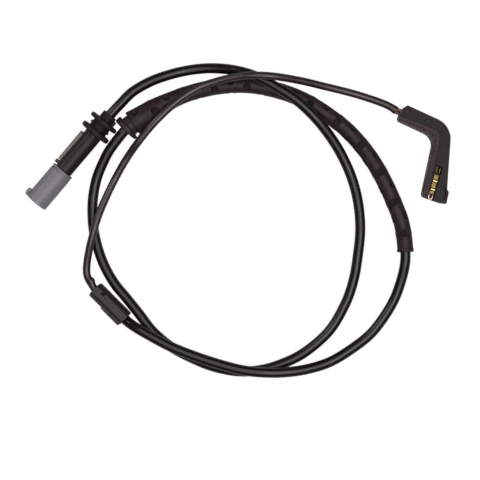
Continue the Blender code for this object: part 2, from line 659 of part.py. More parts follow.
def make_head():
    """The moulded head, its spring contact, two crimped cores and the wire loop that wears through."""
    frame = frame_at("head_end", Matrix.Translation((*HEAD_END, 0)))
    head = plate("sensor_head", rounded(in_plan(HEAD_OUTLINE)), 0, HEAD_HEIGHT, frame, BLACK_PLASTIC)
    round_edges(head, 1.2 * EDGE)
    web = plate("web_recess", rounded(in_plan(WEB_OUTLINE)), WEB_HEIGHT, 2 * HEAD_HEIGHT, frame)
    combine(head, web)
    pocket_frame = Matrix.Translation((*POCKET_TOP, POCKET_FLOOR)) @ Matrix.Rotation(POCKET_HEADING, 4, "Z")
    half = POCKET_WIDTH / 2
    low, high = (0, -half, 0), (2 * POCKET_LENGTH, half, HEAD_HEIGHT)
    combine(head, block("pocket", low, high, frame, matrix=pocket_frame))
    for number, (x, y) in enumerate(in_plan(MOULD_PINS)):
        place = Matrix.Translation((x, y, WEB_HEIGHT - MOULD_PIN_DEPTH))
        pin = rod(f"pin_mark_{number}", MOULD_PIN_RADIUS, 0, HEAD_HEIGHT, frame, matrix=place, sides=10)
        combine(head, pin)
    gate = Matrix.Translation((*in_plan([GATE_MARK])[0], WEB_HEIGHT))
    combine(head, rod("gate_mark", GATE_MARK_RADIUS, -EDGE, GATE_MARK_HEIGHT, frame, matrix=gate), "UNION")
    slot_top, slot_end = (Vector(point) for point in in_plan(TAB_SLOT[:2]))
    run = slot_end - slot_top
    turn = Matrix.Rotation(math.atan2(run.y, run.x), 4, "Z")
    place = Matrix.Translation((*slot_top, WEB_HEIGHT / 2)) @ turn
    half = TAB_SLOT[2] * MM / 2
    combine(head, block("tab_slot", (0, -half, 0), (run.length, half, HEAD_HEIGHT), frame, matrix=place))

    arm = lying_axis((0, 0), CORE_HEIGHT, ARM_HEADING)
    for number, side in ((1, -1), (2, 1)):
        offset = arm @ Matrix.Translation((0, side * (CORE_DIAMETER + FIT) / 2, 0))
        bore = CORE_DIAMETER / 2 + FIT
        hole = rod(f"core_hole_{number}", bore, -CORE_BORE_DEPTH, CORE_BORE_DEPTH, frame, matrix=offset)
        combine(head, hole)
        rod(
            f"head_core_{number}", CORE_DIAMETER / 2, -BARE_LENGTH + FIT, CORE_LEAD_IN, frame,
            CORE_BROWN if number == 1 else CORE_BLACK, offset, sides=12,
        )

    for number, side in ((1, -1), (2, 1)):
        radius = BARREL_CRIMP_RADIUS
        lay = pocket_frame @ Matrix.Translation((0, side * (radius + FIT / 2), radius + FIT))
        lay = lay @ Matrix.Rotation(math.pi / 2, 4, "Y")
        rod(f"contact_crimp_{number}", radius, FIT, FIT + BARREL_CRIMP_LENGTH, frame, BRASS, lay, sides=12)
    make_spring(frame, pocket_frame)
    make_loop(frame)
    return frame


def make_spring(frame, pocket_frame):
    """A brass strip with two folded-up bars, drawn as its side outline and carried across its width."""
    upper = [(SPRING_START, 0)]
    for share in SPRING_FOLDS:
        middle = SPRING_START + share * SPRING_LENGTH
        half = SPRING_FOLD_WIDTH / 2
        upper += [(middle - half, 0), (middle - half / 2, SPRING_FOLD_HEIGHT)]
        upper += [(middle + half / 2, SPRING_FOLD_HEIGHT), (middle + half, 0)]
    upper.append((SPRING_START + SPRING_LENGTH, 0))
    outline = [(x, y + SPRING_THICKNESS) for x, y in upper[::-1]] + upper
    stand = Matrix.Translation((0, 0, FIT)) @ Matrix.Rotation(math.pi / 2, 4, "X")
    plate("spring_contact", outline, -SPRING_WIDTH / 2, SPRING_WIDTH / 2, frame, BRASS, pocket_frame @ stand)


def make_loop(frame):
    """The bare wire hairpin at the head's worn end: a half circle between two short legs."""
    legs = SPRING_START + SPRING_LENGTH + FIT + LOOP_WIRE_RADIUS
    bend = POCKET_WIDTH / 2 - LOOP_WIRE_RADIUS - FIT
    tip = POCKET_LENGTH + LOOP_REACH - bend
    angles = [math.pi / 2 - math.pi * k / 8 for k in range(9)]
    path = [(legs, bend)] + [(tip + bend * math.cos(a), bend * math.sin(a)) for a in angles] + [(legs, -bend)]
    turn = Matrix.Translation((*POCKET_TOP, POCKET_FLOOR)) @ Matrix.Rotation(POCKET_HEADING, 4, "Z")
    lift = LOOP_WIRE_RADIUS + FIT
    bpy.context.view_layer.update()
    route = [frame.matrix_world @ turn @ Vector((x, y, lift)) for x, y in path]
    tube("wear_loop", route, LOOP_WIRE_RADIUS, COPPER, sides=2)


def build():
    plug = make_plug()
    splice, main_port, branch_port = make_splice_block()
    head = make_head()
    bpy.context.view_layer.update()

    leave = CABLE_START + SEAL_POCKET_LENGTH
    outlet = FLANGE_START + GROMMET_LENGTH
    start = [along(plug, CABLE_START), along(plug, leave), along(plug, outlet)]
    finish = [along(splice, BLOCK_LENGTH + FIT), along(splice, main_port)]
    points = start + in_metres(MAIN_ROUTE_MM + SLEEVE_ROUTE_MM + TAIL_ROUTE_MM) + finish
    main = smooth_route(points, MAIN_STATIONS, held_first=2, held_last=1)
    tube("main_cable", main, MAIN_DIAMETER / 2, CABLE_JACKET)

    arm = head.matrix_world @ lying_axis((0, 0), CORE_HEIGHT, ARM_HEADING)
    points = [along(splice, branch_port - FIT), along(splice, 0)] + in_metres(BRANCH_ROUTE_MM)
    points.append(arm @ Vector((0, 0, -BARE_LENGTH)))
    branch = smooth_route(points, BRANCH_STATIONS, held_first=1)
    tube("branch_cable", branch, BRANCH_DIAMETER / 2, CABLE_JACKET, sides=2)
    make_sleeve(main)
    print(f"main cable {travelled(main)[-1] / MM:.0f} mm, branch cable {travelled(branch)[-1] / MM:.0f} mm")


build()
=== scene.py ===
# %% [markdown]
# A brake pad wear sensor lies on a table, seen from straight above. A two-core lead leaves a round
# plug, runs through a bracket grommet, is laid in a loop, wears a dimpled rubber sleeve for part of
# its way, and ends in a splice block. A thin lead goes on to an L-shaped head that sits in the
# brake pad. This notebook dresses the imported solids. The scene is in metres, with the table at 0.

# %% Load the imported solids
import json
import math

import bmesh
import bpy
import numpy as np
from mathutils import Matrix, Vector

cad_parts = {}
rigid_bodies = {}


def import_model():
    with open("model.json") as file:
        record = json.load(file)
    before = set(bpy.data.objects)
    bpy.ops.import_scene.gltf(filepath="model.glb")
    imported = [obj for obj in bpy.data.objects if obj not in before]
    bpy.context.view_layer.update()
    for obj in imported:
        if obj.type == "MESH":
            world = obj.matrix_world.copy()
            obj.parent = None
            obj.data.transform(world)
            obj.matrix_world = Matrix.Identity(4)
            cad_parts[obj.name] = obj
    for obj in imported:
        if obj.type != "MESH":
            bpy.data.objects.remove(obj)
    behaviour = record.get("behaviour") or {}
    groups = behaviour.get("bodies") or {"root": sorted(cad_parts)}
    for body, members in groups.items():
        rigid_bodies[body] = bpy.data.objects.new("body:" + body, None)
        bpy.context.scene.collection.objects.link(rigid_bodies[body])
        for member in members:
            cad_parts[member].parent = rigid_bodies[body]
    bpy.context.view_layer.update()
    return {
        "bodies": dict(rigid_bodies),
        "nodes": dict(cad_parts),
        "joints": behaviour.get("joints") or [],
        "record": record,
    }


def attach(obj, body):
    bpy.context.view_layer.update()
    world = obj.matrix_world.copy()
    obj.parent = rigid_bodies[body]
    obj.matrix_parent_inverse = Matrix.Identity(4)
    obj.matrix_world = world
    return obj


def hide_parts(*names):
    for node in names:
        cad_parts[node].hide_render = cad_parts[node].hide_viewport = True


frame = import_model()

MM = 0.001

# %% [markdown]
# The camera looks straight down from one metre, so that the round pieces show a little of the side
# that faces the middle of the picture, as in a photograph. An orthographic camera would show none.

# %% Camera
CAMERA_HEIGHT = 1.0
VIEW_SPAN = 0.240
VIEW_MIDDLE = (0.0004, -0.0195)
VIEW_PLANE = 4 * MM
SENSOR_WIDTH = 36.0

lens = bpy.data.cameras.new("camera")
lens.sensor_width = SENSOR_WIDTH
lens.lens = SENSOR_WIDTH * (CAMERA_HEIGHT - VIEW_PLANE) / VIEW_SPAN
lens.clip_start = 0.01
camera = bpy.data.objects.new("camera", lens)
camera.location = (*VIEW_MIDDLE, CAMERA_HEIGHT)
bpy.context.scene.collection.objects.link(camera)
bpy.context.scene.camera = camera
bpy.context.scene.view_settings.view_transform = "Standard"
print(f"lens {lens.lens:.0f} mm")

# %% [markdown]
# The leads come out of the plug, the splice block and the head. Each has a place on the table, a
# heading from +X, and the distances along its own axis at which a lead passes through it. The plug
# rests on its shell and on its larger flange, so its axis rises a little. All sizes are in mm.

# %% Where the leads start and end
PLUG_MOUTH = (-101.4, -0.8)
PLUG_HEADING = math.radians(49.5)
SHELL_RADIUS = 5.85
FLANGE_RADIUS = 8.0
FLANGE_START = 44.8
PLUG_RISE = math.atan2(FLANGE_RADIUS - SHELL_RADIUS, FLANGE_START)
LEAD_STATIONS = (35.8, 44.8, 57.5)
BLOCK_END = (-72.3, -43.9)
BLOCK_HEADING = math.radians(-45.0)
BLOCK_LENGTH = 21.5
BLOCK_HEIGHT = 8.4
BLOCK_PORTS = (21.8, 15.6)
BRANCH_PORTS = (2.3, 0.0)
HEAD_END = (81.8, 43.8)
CORE_HEIGHT = 2.7
ARM_HEADING = math.radians(-24.8)
BARE_LENGTH = 3.4
print(f"plug axis rises {math.degrees(PLUG_RISE):.1f} degrees")

# %% [markdown]
# A simulation could find how a lead lies, but the photograph shows it. So each lead is a smooth
# line through chosen points, (x, y, height) of its middle. The thin lead lies on everything, the
# tail on the loop, and the loop on the sleeve, and the heights follow from that.

# %% Points of the routes
LOOP_ROUTE = [
    (-58.9, 48.5, 8.4), (-53.1, 54.3, 7.6), (-44.6, 59.4, 6.0), (-35.6, 62.9, 4.2), (-26.1, 65.3, 3.0),
    (-16.1, 66.4, 3.3), (-6.1, 65.8, 5.6), (3.2, 63.7, 8.7), (11.4, 60.3, 10.5), (19.4, 55.8, 11.0),
    (28.9, 49.6, 10.9), (38.6, 40.4, 9.6), (47.4, 29.2, 6.0), (53.7, 18.0, 3.3), (57.8, 7.0, 2.65),
    (60.0, -4.0, 2.65), (60.6, -15.0, 2.65), (59.5, -26.5, 2.65), (57.4, -39.0, 2.65),
    (53.2, -51.3, 2.65), (45.2, -64.8, 2.65), (33.4, -75.3, 2.65), (21.9, -81.3, 2.65),
    (10.6, -84.6, 2.65), (-1.1, -85.2, 2.65), (-13.1, -82.8, 2.65), (-23.6, -78.6, 2.65),
    (-33.6, -73.3, 2.65), (-43.1, -65.4, 2.65), (-50.3, -56.2, 2.65), (-56.5, -48.5, 2.65),
    (-62.4, -41.3, 2.65), (-67.3, -32.8, 2.65), (-70.8, -23.5, 2.65), (-72.9, -14.0, 2.65),
    (-73.5, -5.0, 2.65), (-73.0, 3.0, 2.8), (-71.1, 11.8, 3.4), (-67.5, 20.3, 4.6), (-63.9, 26.5, 5.8),
]
SLEEVE_ROUTE = [
    (-56.5, 35.6, 7.1), (-50.1, 40.4, 7.0), (-43.1, 45.3, 6.5), (-35.6, 49.4, 5.5), (-25.6, 53.6, 4.5),
    (-14.1, 56.6, 4.2), (-3.6, 57.9, 4.2), (6.4, 57.7, 4.2), (16.4, 55.9, 4.2), (26.4, 52.9, 4.2),
    (35.9, 48.4, 4.2), (44.8, 42.6, 4.2), (53.3, 36.0, 4.2), (61.2, 27.5, 4.2), (67.7, 18.5, 4.2),
    (73.2, 8.5, 4.2), (77.6, -1.3, 4.2), (80.9, -10.0, 4.2), (82.5, -18.5, 4.3), (83.1, -26.5, 4.6),
]
TAIL_ROUTE = [
    (82.7, -32.5, 4.4), (80.9, -40.3, 3.3), (77.6, -49.3, 2.65), (72.3, -58.3, 2.65),
    (65.3, -67.0, 2.65), (55.6, -74.5, 2.75), (45.4, -80.5, 3.5), (34.4, -83.9, 5.2),
    (23.4, -85.4, 6.9), (12.4, -85.5, 7.9), (1.4, -84.3, 8.0), (-9.6, -81.5, 8.0), (-21.9, -77.5, 8.05),
    (-34.6, -72.4, 8.05), (-47.3, -65.6, 7.5), (-53.2, -62.1, 5.9),
]
BRANCH_ROUTE = [
    (-73.8, -41.6, 4.2), (-75.5, -38.8, 4.1), (-76.3, -35.5, 4.1), (-76.0, -30.5, 4.6),
    (-75.0, -25.0, 5.9), (-73.8, -20.0, 7.0), (-71.3, -10.8, 7.4), (-68.0, -1.8, 6.2),
    (-62.3, 10.5, 4.4), (-56.2, 21.0, 6.3), (-49.6, 29.9, 10.3), (-41.6, 39.2, 12.4),
    (-31.4, 48.8, 11.6), (-20.6, 55.9, 10.7), (-11.1, 59.3, 10.9), (-1.6, 61.3, 12.9),
    (7.9, 61.9, 15.2), (17.9, 61.4, 14.5), (30.4, 59.7, 9.8), (42.9, 57.1, 5.6), (55.9, 54.1, 3.0),
    (65.9, 51.1, 2.3), (73.9, 48.1, 2.5),
]
print(f"{len(LOOP_ROUTE + SLEEVE_ROUTE + TAIL_ROUTE)} and {len(BRANCH_ROUTE)} points")

# %% [markdown]
# A Catmull-Rom curve passes through each point, along the chord between the two neighbours, so it
# bends like a real cable and needs no handles. It is read at equal steps, for even faces.

# %% Smooth lines
LEAD_SPACING = 1.2
SPAN_STEPS = 24


def lying_axis(place, height, heading, rise=0.0):
    """A frame in mm whose Z runs along a heading, whose X points up, and whose Y is Z cross X."""
    flat = Vector((math.cos(heading), math.sin(heading), 0))
    axis = flat * math.cos(rise) + Vector((0, 0, math.sin(rise)))
    up = Vector((0, 0, math.cos(rise))) - flat * math.sin(rise)
    turn = Matrix((up, axis.cross(up), axis)).transposed().to_4x4()
    return Matrix.Translation((place[0], place[1], height)) @ turn


def on_axis(axis, distances):
    """Points on a frame's Z axis at the given distances."""
    return [tuple(axis @ Vector((0, 0, distance))) for distance in distances]


def travelled(route):
    """The length along a line of points, summed from its chords, at each point."""
    return np.concatenate([[0], np.cumsum(np.linalg.norm(np.diff(route, axis=0), axis=1))])


def smooth_route(points, spacing):
    """Catmull-Rom: between b and c, with neighbours a and d and t from 0 to 1, the point is
    b + t/2 (c - a + t (2a - 5b + 4c - d + t (3b - a - 3c + d))), read at equal spacing."""
    knots = np.array(points, dtype=float)
    knots = np.vstack([2 * knots[0] - knots[1], knots, 2 * knots[-1] - knots[-2]])
    t = np.linspace(0, 1, SPAN_STEPS, endpoint=False)[:, None]
    a, b, c, d = knots[:-3, None], knots[1:-2, None], knots[2:-1, None], knots[3:, None]
    line = b + 0.5 * t * (c - a + t * (2 * a - 5 * b + 4 * c - d + t * (3 * b - a - 3 * c + d)))
    line = np.vstack([line.reshape(-1, 3), knots[-2]])
    travel = travelled(line)
    stations = np.linspace(0, travel[-1], round(travel[-1] / spacing) + 1)
    return np.stack([np.interp(stations, travel, line[:, k]) for k in range(3)], axis=1)


PLUG_AXIS = lying_axis(PLUG_MOUTH, SHELL_RADIUS * math.cos(PLUG_RISE), PLUG_HEADING, PLUG_RISE)
BLOCK_AXIS = lying_axis(BLOCK_END, BLOCK_HEIGHT / 2, BLOCK_HEADING)
ARM_AXIS = lying_axis(HEAD_END, CORE_HEIGHT, ARM_HEADING)
MAIN_KNOTS = on_axis(PLUG_AXIS, LEAD_STATIONS) + LOOP_ROUTE + SLEEVE_ROUTE + TAIL_ROUTE
MAIN_KNOTS += on_axis(BLOCK_AXIS, BLOCK_PORTS)
main_line = smooth_route(MAIN_KNOTS, LEAD_SPACING)
BRANCH_KNOTS = on_axis(BLOCK_AXIS, BRANCH_PORTS) + BRANCH_ROUTE + on_axis(ARM_AXIS, (-BARE_LENGTH,))
branch_line = smooth_route(BRANCH_KNOTS, LEAD_SPACING)
print(f"main lead {travelled(main_line)[-1]:.0f} mm, thin lead {travelled(branch_line)[-1]:.0f} mm")

# %% [markdown]
# Nearly every piece is a grid of points: a ring carried along a line, or a profile turned about an
# axis. A curve with a bevel would do for a plain cable, but not for a dimpled sleeve. So one
# function makes a mesh from any grid, and can store a UV map in millimetres.

# %% From a grid of points to a mesh
SHARP_FROM = 35


def grid_piece(name, points, closed=False, uv=None):
    """A mesh over points[i, j] (mm). j always closes round; i closes too if the profile is a ring.
    Quad (i, j) joins (i, j), (i, j+1), (i+1, j+1) and (i+1, j)."""
    rows, columns = points.shape[:2]
    i = np.arange(rows if closed else rows - 1)[:, None]
    j = np.arange(columns)[None, :]
    below, beside = (i + 1) % rows, (j + 1) % columns
    corners = [i * columns + j, i * columns + beside, below * columns + beside, below * columns + j]
    quads = np.stack([np.broadcast_to(corner, (len(i), columns)) for corner in corners], axis=-1)
    faces = quads.reshape(-1, 4).tolist()
    if not closed:
        faces += [list(range(columns - 1, -1, -1)), list(range((rows - 1) * columns, rows * columns))]
    mesh = bpy.data.meshes.new(name)
    mesh.from_pydata((points.reshape(-1, 3) * MM).tolist(), [], faces)
    if uv is not None:
        flat = np.broadcast_to(uv, (rows, columns, 2)).reshape(-1, 2)
        loops = np.empty(len(mesh.loops), dtype=np.int32)
        mesh.loops.foreach_get("vertex_index", loops)
        layer = mesh.uv_layers.new(name="UVMap")
        layer.data.foreach_set("uv", flat[loops].astype(np.float32).ravel())
    mesh.validate()
    return mesh


def outward(mesh):
    """All faces turned to look out of the piece."""
    shape = bmesh.new()
    shape.from_mesh(mesh)
    bmesh.ops.recalc_face_normals(shape, faces=shape.faces)
    if shape.calc_volume(signed=True) < 0:
        bmesh.ops.reverse_faces(shape, faces=shape.faces)
    shape.to_mesh(mesh)
    shape.free()
    return mesh


def finished(name, mesh, weighted=False):
    """An object at the origin with outward faces and smooth shading up to SHARP_FROM degrees."""
    outward(mesh)
    mesh.shade_smooth()
    mesh.set_sharp_from_angle(angle=math.radians(SHARP_FROM))
    piece = bpy.data.objects.new(name, mesh)
    bpy.context.scene.collection.objects.link(piece)
    if weighted:
        piece.modifiers.new("flat faces stay flat", "WEIGHTED_NORMAL").keep_sharp = True
    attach(piece, "root")
    return piece


def placed(points, axis):
    """The points moved from an assembly's own frame to the table."""
    turn = np.array(axis.to_3x3())
    return points @ turn.T + np.array(axis.translation)


print("grids can become pieces")

# %% [markdown]
# A lead lies nearly flat, so the direction across it can be taken level, with its own up at right
# angles to that. Such frames don't twist along the lead, and fail only where a lead is upright.

# %% Rings carried along a line
def lead_frames(line):
    """For each point of a lying line: its side (tangent cross up) and its own up."""
    tangent = np.gradient(line, axis=0)
    tangent /= np.linalg.norm(tangent, axis=1)[:, None]
    side = np.cross(tangent, (0.0, 0.0, 1.0))
    side /= np.linalg.norm(side, axis=1)[:, None]
    return side, np.cross(side, tangent)


def tube_points(line, radius, sides):
    """Point (s, angle) = line(s) + radius(s, angle) (cos(angle) up - sin(angle) side), so that
    angle 0 is the top and a positive angle turns to the left of the direction of travel."""
    side, up = lead_frames(line)
    angle = np.linspace(0, math.tau, sides, endpoint=False)
    ring = np.cos(angle)[None, :, None] * up[:, None] - np.sin(angle)[None, :, None] * side[:, None]
    size = np.broadcast_to(radius, (len(line), sides))[..., None]
    return line[:, None] + size * ring, angle


def lead_uv(line, angle, radius):
    """u is the length along the lead and v the length round it, both in millimetres."""
    u = np.broadcast_to(travelled(line)[:, None], (len(line), len(angle)))
    return np.stack([u, np.broadcast_to(angle[None, :] * radius, u.shape)], axis=-1)


print("rings can follow a line")

# %% [markdown]
# The main lead is a plain smooth tube. The thin lead has a short lump of jacket beside the splice
# block and flares where its jacket ends before the head. Both could be sculpted, but a radius that
# depends on the length and the angle says the same in a line.

# %% The two leads
MAIN_DIAMETER = 5.15
BRANCH_DIAMETER = 3.8
LEAD_SIDES = 32
LUMP_PLACE, LUMP_LENGTH, LUMP_HEIGHT = 6.6, 1.5, 0.75
LUMP_ANGLE, LUMP_BREADTH = math.radians(-80), 0.7
FLARE_LENGTH, FLARE_HEIGHT = 5.0, 0.22


def laid(name, node, line, diameter, lift=0.0):
    """A lead along a line, which stands for a node. lift is added to its radius."""
    points, angle = tube_points(line, diameter / 2 + lift, LEAD_SIDES)
    lead = finished(name, grid_piece(name, points, uv=lead_uv(line, angle, diameter / 2)))
    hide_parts(node)
    print(f"{name}: {len(lead.data.vertices)} points")
    return lead


main_lead = laid("main_lead", "main_cable", main_line, MAIN_DIAMETER)
branch_travel = travelled(branch_line)[:, None]
branch_angle = np.linspace(0, math.tau, LEAD_SIDES, endpoint=False)[None, :]
lump = np.exp(-((branch_travel - LUMP_PLACE) / LUMP_LENGTH) ** 4) * LUMP_HEIGHT
lump = lump * np.clip(np.cos(branch_angle - LUMP_ANGLE), 0, 1) ** LUMP_BREADTH
to_end = branch_travel[-1] - branch_travel
flare = FLARE_HEIGHT * np.clip(1 - to_end / FLARE_LENGTH, 0, 1) ** 2
branch_lead = laid("branch_lead", "branch_cable", branch_line, BRANCH_DIAMETER, lump + flare)

# %% [markdown]
# A finish is more than a colour. Moulded plastic has a fine grain, rubber is mottled, and brass
# tarnishes in patches. Nodes could be linked one by one, but then the formula gets lost. Here one
# small class turns + - * into Math nodes, so that a pattern reads like its formula.

# %% Shader maths
RELIEF_STRENGTH = 0.5


def both_ways(operation):
    """The methods for an operator with the field on its left, and on its right."""
    return (
        lambda field, other: field.maths(operation, field, other),
        lambda field, other: field.maths(operation, other, field),
    )


class Field:
    """The value of one socket. Arithmetic with numbers or other fields adds Math nodes."""

    __add__, __radd__ = both_ways("ADD")
    __sub__, __rsub__ = both_ways("SUBTRACT")
    __mul__, __rmul__ = both_ways("MULTIPLY")

    def __init__(self, finish, socket):
        self.finish, self.socket = finish, socket

    def maths(self, operation, first, second):
        """One Math node between two values."""
        return self.finish.node("ShaderNodeMath", {"operation": operation}, {0: first, 1: second})

    def step(self, low, high):
        """0 below low, 1 above high, and a smooth rise between them."""
        limits = {"Value": self, "From Min": low, "From Max": high}
        return self.finish.node("ShaderNodeMapRange", {"interpolation_type": "SMOOTHSTEP"}, limits)


class Finish:
    """A material that is being written, with its Principled shader."""

    def __init__(self, name, **sockets):
        self.material = bpy.data.materials.new(name)
        self.material.use_nodes = True
        self.tree = self.material.node_tree
        self.shader = self.tree.nodes["Principled BSDF"]
        self.surface(**sockets)

    def surface(self, **sockets):
        """Feeds the shader's own sockets, whose names are written with _ for a space."""
        for socket, value in sockets.items():
            self.feed(self.shader, socket.replace("_", " "), value)

    def feed(self, node, socket, value):
        """Links a field to a socket, or sets the socket to a plain value."""
        if isinstance(value, Field):
            self.tree.links.new(value.socket, node.inputs[socket])
        else:
            node.inputs[socket].default_value = value

    def node(self, kind, settings=None, sockets=None, output=0):
        """Any node: its settings first, then the values or links of its sockets."""
        made = self.tree.nodes.new(kind)
        for name, value in (settings or {}).items():
            setattr(made, name, value)
        for socket, value in (sockets or {}).items():
            self.feed(made, socket, value)
        return Field(self, made.outputs[output])

    def noise(self, scale, detail=3.0, stretch=None, on="Object"):
        """Noise with about that many features per metre of the object, or per millimetre along
        and round a lead, on its UV map."""
        place = self.node("ShaderNodeTexCoord", output=on)
        if stretch:
            place = self.node("ShaderNodeMapping", sockets={"Vector": place, "Scale": stretch})
        sockets = {"Vector": place, "Scale": scale, "Detail": detail}
        return self.node("ShaderNodeTexNoise", sockets=sockets, output="Fac")

    def height(self):
        """How high a point is, in millimetres above the table."""
        place = self.node("ShaderNodeTexCoord", output="Object")
        return self.node("ShaderNodeSeparateXYZ", sockets={0: place}, output="Z") * (1 / MM)

    def mark(self, name):
        """A number stored at each point of the mesh, such as how worn an edge is, which also sets its
        painted highlight.
        """
        return self.node("ShaderNodeAttribute", {"attribute_name": name}, output="Fac")

    def mixed(self, share, first, second):
        """The first colour where share is 0 and the second where it is 1."""
        colours = [value if isinstance(value, Field) else (*value, 1.0) for value in (first, second)]
        sockets = {0: share, 6: colours[0], 7: colours[1]}
        return self.node("ShaderNodeMix", {"data_type": "RGBA"}, sockets, output=2)

    def relief(self, height, distance):
        """The height pattern as bumps of that many millimetres."""
        sockets = {"Height": height, "Distance": distance * MM, "Strength": RELIEF_STRENGTH}
        self.feed(self.shader, "Normal", self.node("ShaderNodeBump", sockets=sockets, output="Normal"))


def shaded(colour, factor):
    """A colour with each of its parts times a factor."""
    return tuple(value * factor for value in colour)


print("patterns can be written as formulas")

# %% [markdown]
# The shell, barrel, block and head are injection moulded, the grommet and sleeve are rubber. Both
# have patches of slightly different colour and gloss, a fine grain, painted shade in the inner
# corners, in the dimples and on the head's lower faces, and edges that are rubbed lighter and also
# painted with a highlight. Noise and marks on the mesh fit any shape without unwrapping.

# %% Moulded plastic and rubber
PATCHES, GRAINS, EDGE_PATCHES = 260, 2600, 900
# Hollow corners, pits and low faces are painted darker, as shade.
WEAR_AND_HIGHLIGHT_SHARE, HOLLOW_SHADE_SHARE, PIT_SHARE = 0.85, 0.85, 0.75
HOLLOW_SHADE, PIT_SHADE, LOW_SHADE = 0.25, 0.2, 0.35
LOW_BLEND = 0.3
PATCH_GLOSS, GRAIN_GLOSS, HOLLOW_GLOSS, PIT_GLOSS = 0.12, 0.05, 0.3, 0.35


def moulded(name, colour, worn_and_lit_colour, roughness, grain, mottle=0.25, specular=0.2, dark_below=None):
    """Moulded plastic or rubber with a grain that many mm deep. mottle says how much the colour
    varies. What lies below the height dark_below, in mm, can be painted darker, as shade on the lower
    faces. Edges take wear and a painted highlight, and hollows and pits take painted shade."""
    finish = Finish(name)
    patches = finish.noise(PATCHES, 4.0)
    fine = finish.noise(GRAINS, 2.0)
    # Edges are rubbed lighter, and the same mark paints a highlight on them.
    wear = finish.mark("wear") * finish.noise(EDGE_PATCHES, 3.0).step(0.25, 0.6)
    # hollow marks inner corners, which are painted darker as shade.
    hollow = finish.mark("hollow")
    pit = finish.mark("pit")
    base = finish.mixed(patches.step(0.3, 0.7), shaded(colour, 1 - mottle), shaded(colour, 1 + mottle))
    # dark_below paints the lower faces darker, as shade.
    if dark_below is not None:
        low = 1.0 - finish.height().step(dark_below - LOW_BLEND, dark_below)
        base = finish.mixed(low, base, shaded(colour, LOW_SHADE))
    base = finish.mixed(wear * WEAR_AND_HIGHLIGHT_SHARE, base, worn_and_lit_colour)
    base = finish.mixed(hollow * HOLLOW_SHADE_SHARE, base, shaded(colour, HOLLOW_SHADE))
    # pit paints shade into the dimples of the sleeve.
    base = finish.mixed(pit * PIT_SHARE, base, shaded(colour, PIT_SHADE))
    gloss = roughness + (patches - 0.5) * PATCH_GLOSS + (fine - 0.5) * GRAIN_GLOSS
    gloss = gloss + hollow * HOLLOW_GLOSS + pit * PIT_GLOSS
    finish.surface(Base_Color=base, Roughness=gloss, Specular_IOR_Level=specular)
    finish.relief(fine * 0.3 + patches * 0.7, grain)
    return finish.material


GREY_SHELL = moulded("grey_shell", (0.172, 0.162, 0.182), (0.27, 0.26, 0.285), 0.36, 0.008, 0.05, 0.4)
BLACK_MOULDED = moulded("black_moulded", (0.0155, 0.0108, 0.0105), (0.06, 0.047, 0.045), 0.34, 0.008)
# The head is painted darker below 6.2 mm, as shade on its web and sides under the rail.
HEAD_MOULDED = moulded(
    "head_moulded", (0.0315, 0.0145, 0.0165), (0.26, 0.2, 0.2), 0.42, 0.008, 0.26, 0.16, dark_below=6.2
)
BLOCK_MOULDED = moulded(
    "block_moulded", (0.021, 0.0145, 0.0165), (0.1, 0.076, 0.076), 0.34, 0.008, 0.2, 0.28
)
# The rib's pale colour is a painted highlight on black plastic.
RIB_PAINTED_HIGHLIGHT = moulded("rib_moulded", (0.175, 0.14, 0.125), (0.24, 0.2, 0.185), 0.4, 0.01, 0.1)
NUB_MOULDED = moulded("nub_moulded", (0.045, 0.034, 0.031), (0.16, 0.13, 0.12), 0.4, 0.01, 0.1)
BLACK_RUBBER = moulded(
    "black_rubber", (0.012, 0.0066, 0.0068), (0.045, 0.035, 0.034), 0.5, 0.015, 0.25, 0.16
)
SLEEVE_RUBBER = moulded("sleeve_rubber", (0.026, 0.0142, 0.0155), (0.062, 0.046, 0.047), 0.45, 0.02)
SEAL_RUBBER = moulded("seal_rubber", (0.3, 0.075, 0.03), (0.45, 0.15, 0.08), 0.55, 0.02, 0.12)
print(f"{len(bpy.data.materials)} moulded finishes")

# %% [markdown]
# A cable jacket is drawn through a round tool, which leaves faint marks along it, and handling
# leaves smears. Both only change the gloss: a bump would break the thin bright lines into dots.

# %% Cable jackets
DRAW_STRETCH = (0.04, 2.2, 1.0)
SMEARS, SMEAR_LIGHT = 120, 1.7
SMEAR_GLOSS, DRAW_GLOSS = 0.1, 0.04


def jacket(name, colour, roughness, specular=0.5):
    """Cable jacket: an almost even colour, with long faint draw marks and soft smears in its gloss."""
    finish = Finish(name)
    drawn = finish.noise(1.0, 2.0, DRAW_STRETCH, on="UV")
    smear = finish.noise(SMEARS, 4.0)
    base = finish.mixed(smear.step(0.4, 0.75), colour, shaded(colour, SMEAR_LIGHT))
    gloss = roughness + (smear - 0.5) * SMEAR_GLOSS + (drawn - 0.5) * DRAW_GLOSS
    finish.surface(Base_Color=base, Roughness=gloss, Specular_IOR_Level=specular)
    return finish.material


MAIN_JACKET = jacket("main_jacket", (0.0056, 0.0026, 0.0034), 0.22, 0.36)
THIN_JACKET = jacket("thin_jacket", (0.019, 0.0096, 0.0092), 0.28, 0.56)
CORE_BROWN = jacket("core_brown", (0.14, 0.032, 0.024), 0.35)
CORE_BLACK = jacket("core_black", (0.06, 0.022, 0.02), 0.35)
print("jackets for the two leads and their cores")

# %% [markdown]
# The spring contact is stamped brass, painted dark below its fold tops as shade in the pocket, with
# the fold tops painted brighter as a highlight. The crimps are dull brass, the terminals tinned and
# the loop copper. All are full metals with stained patches and scratches.

# %% Metals
STAINS, SCRATCHES, SCRATCH_STRETCH = 700, 2200, (1.0, 0.15, 1.0)
BRIGHT_BLEND = 0.25
STAIN_GLOSS, SCRATCH_GLOSS, SCRATCH_DEPTH = 0.2, 0.15, 0.01


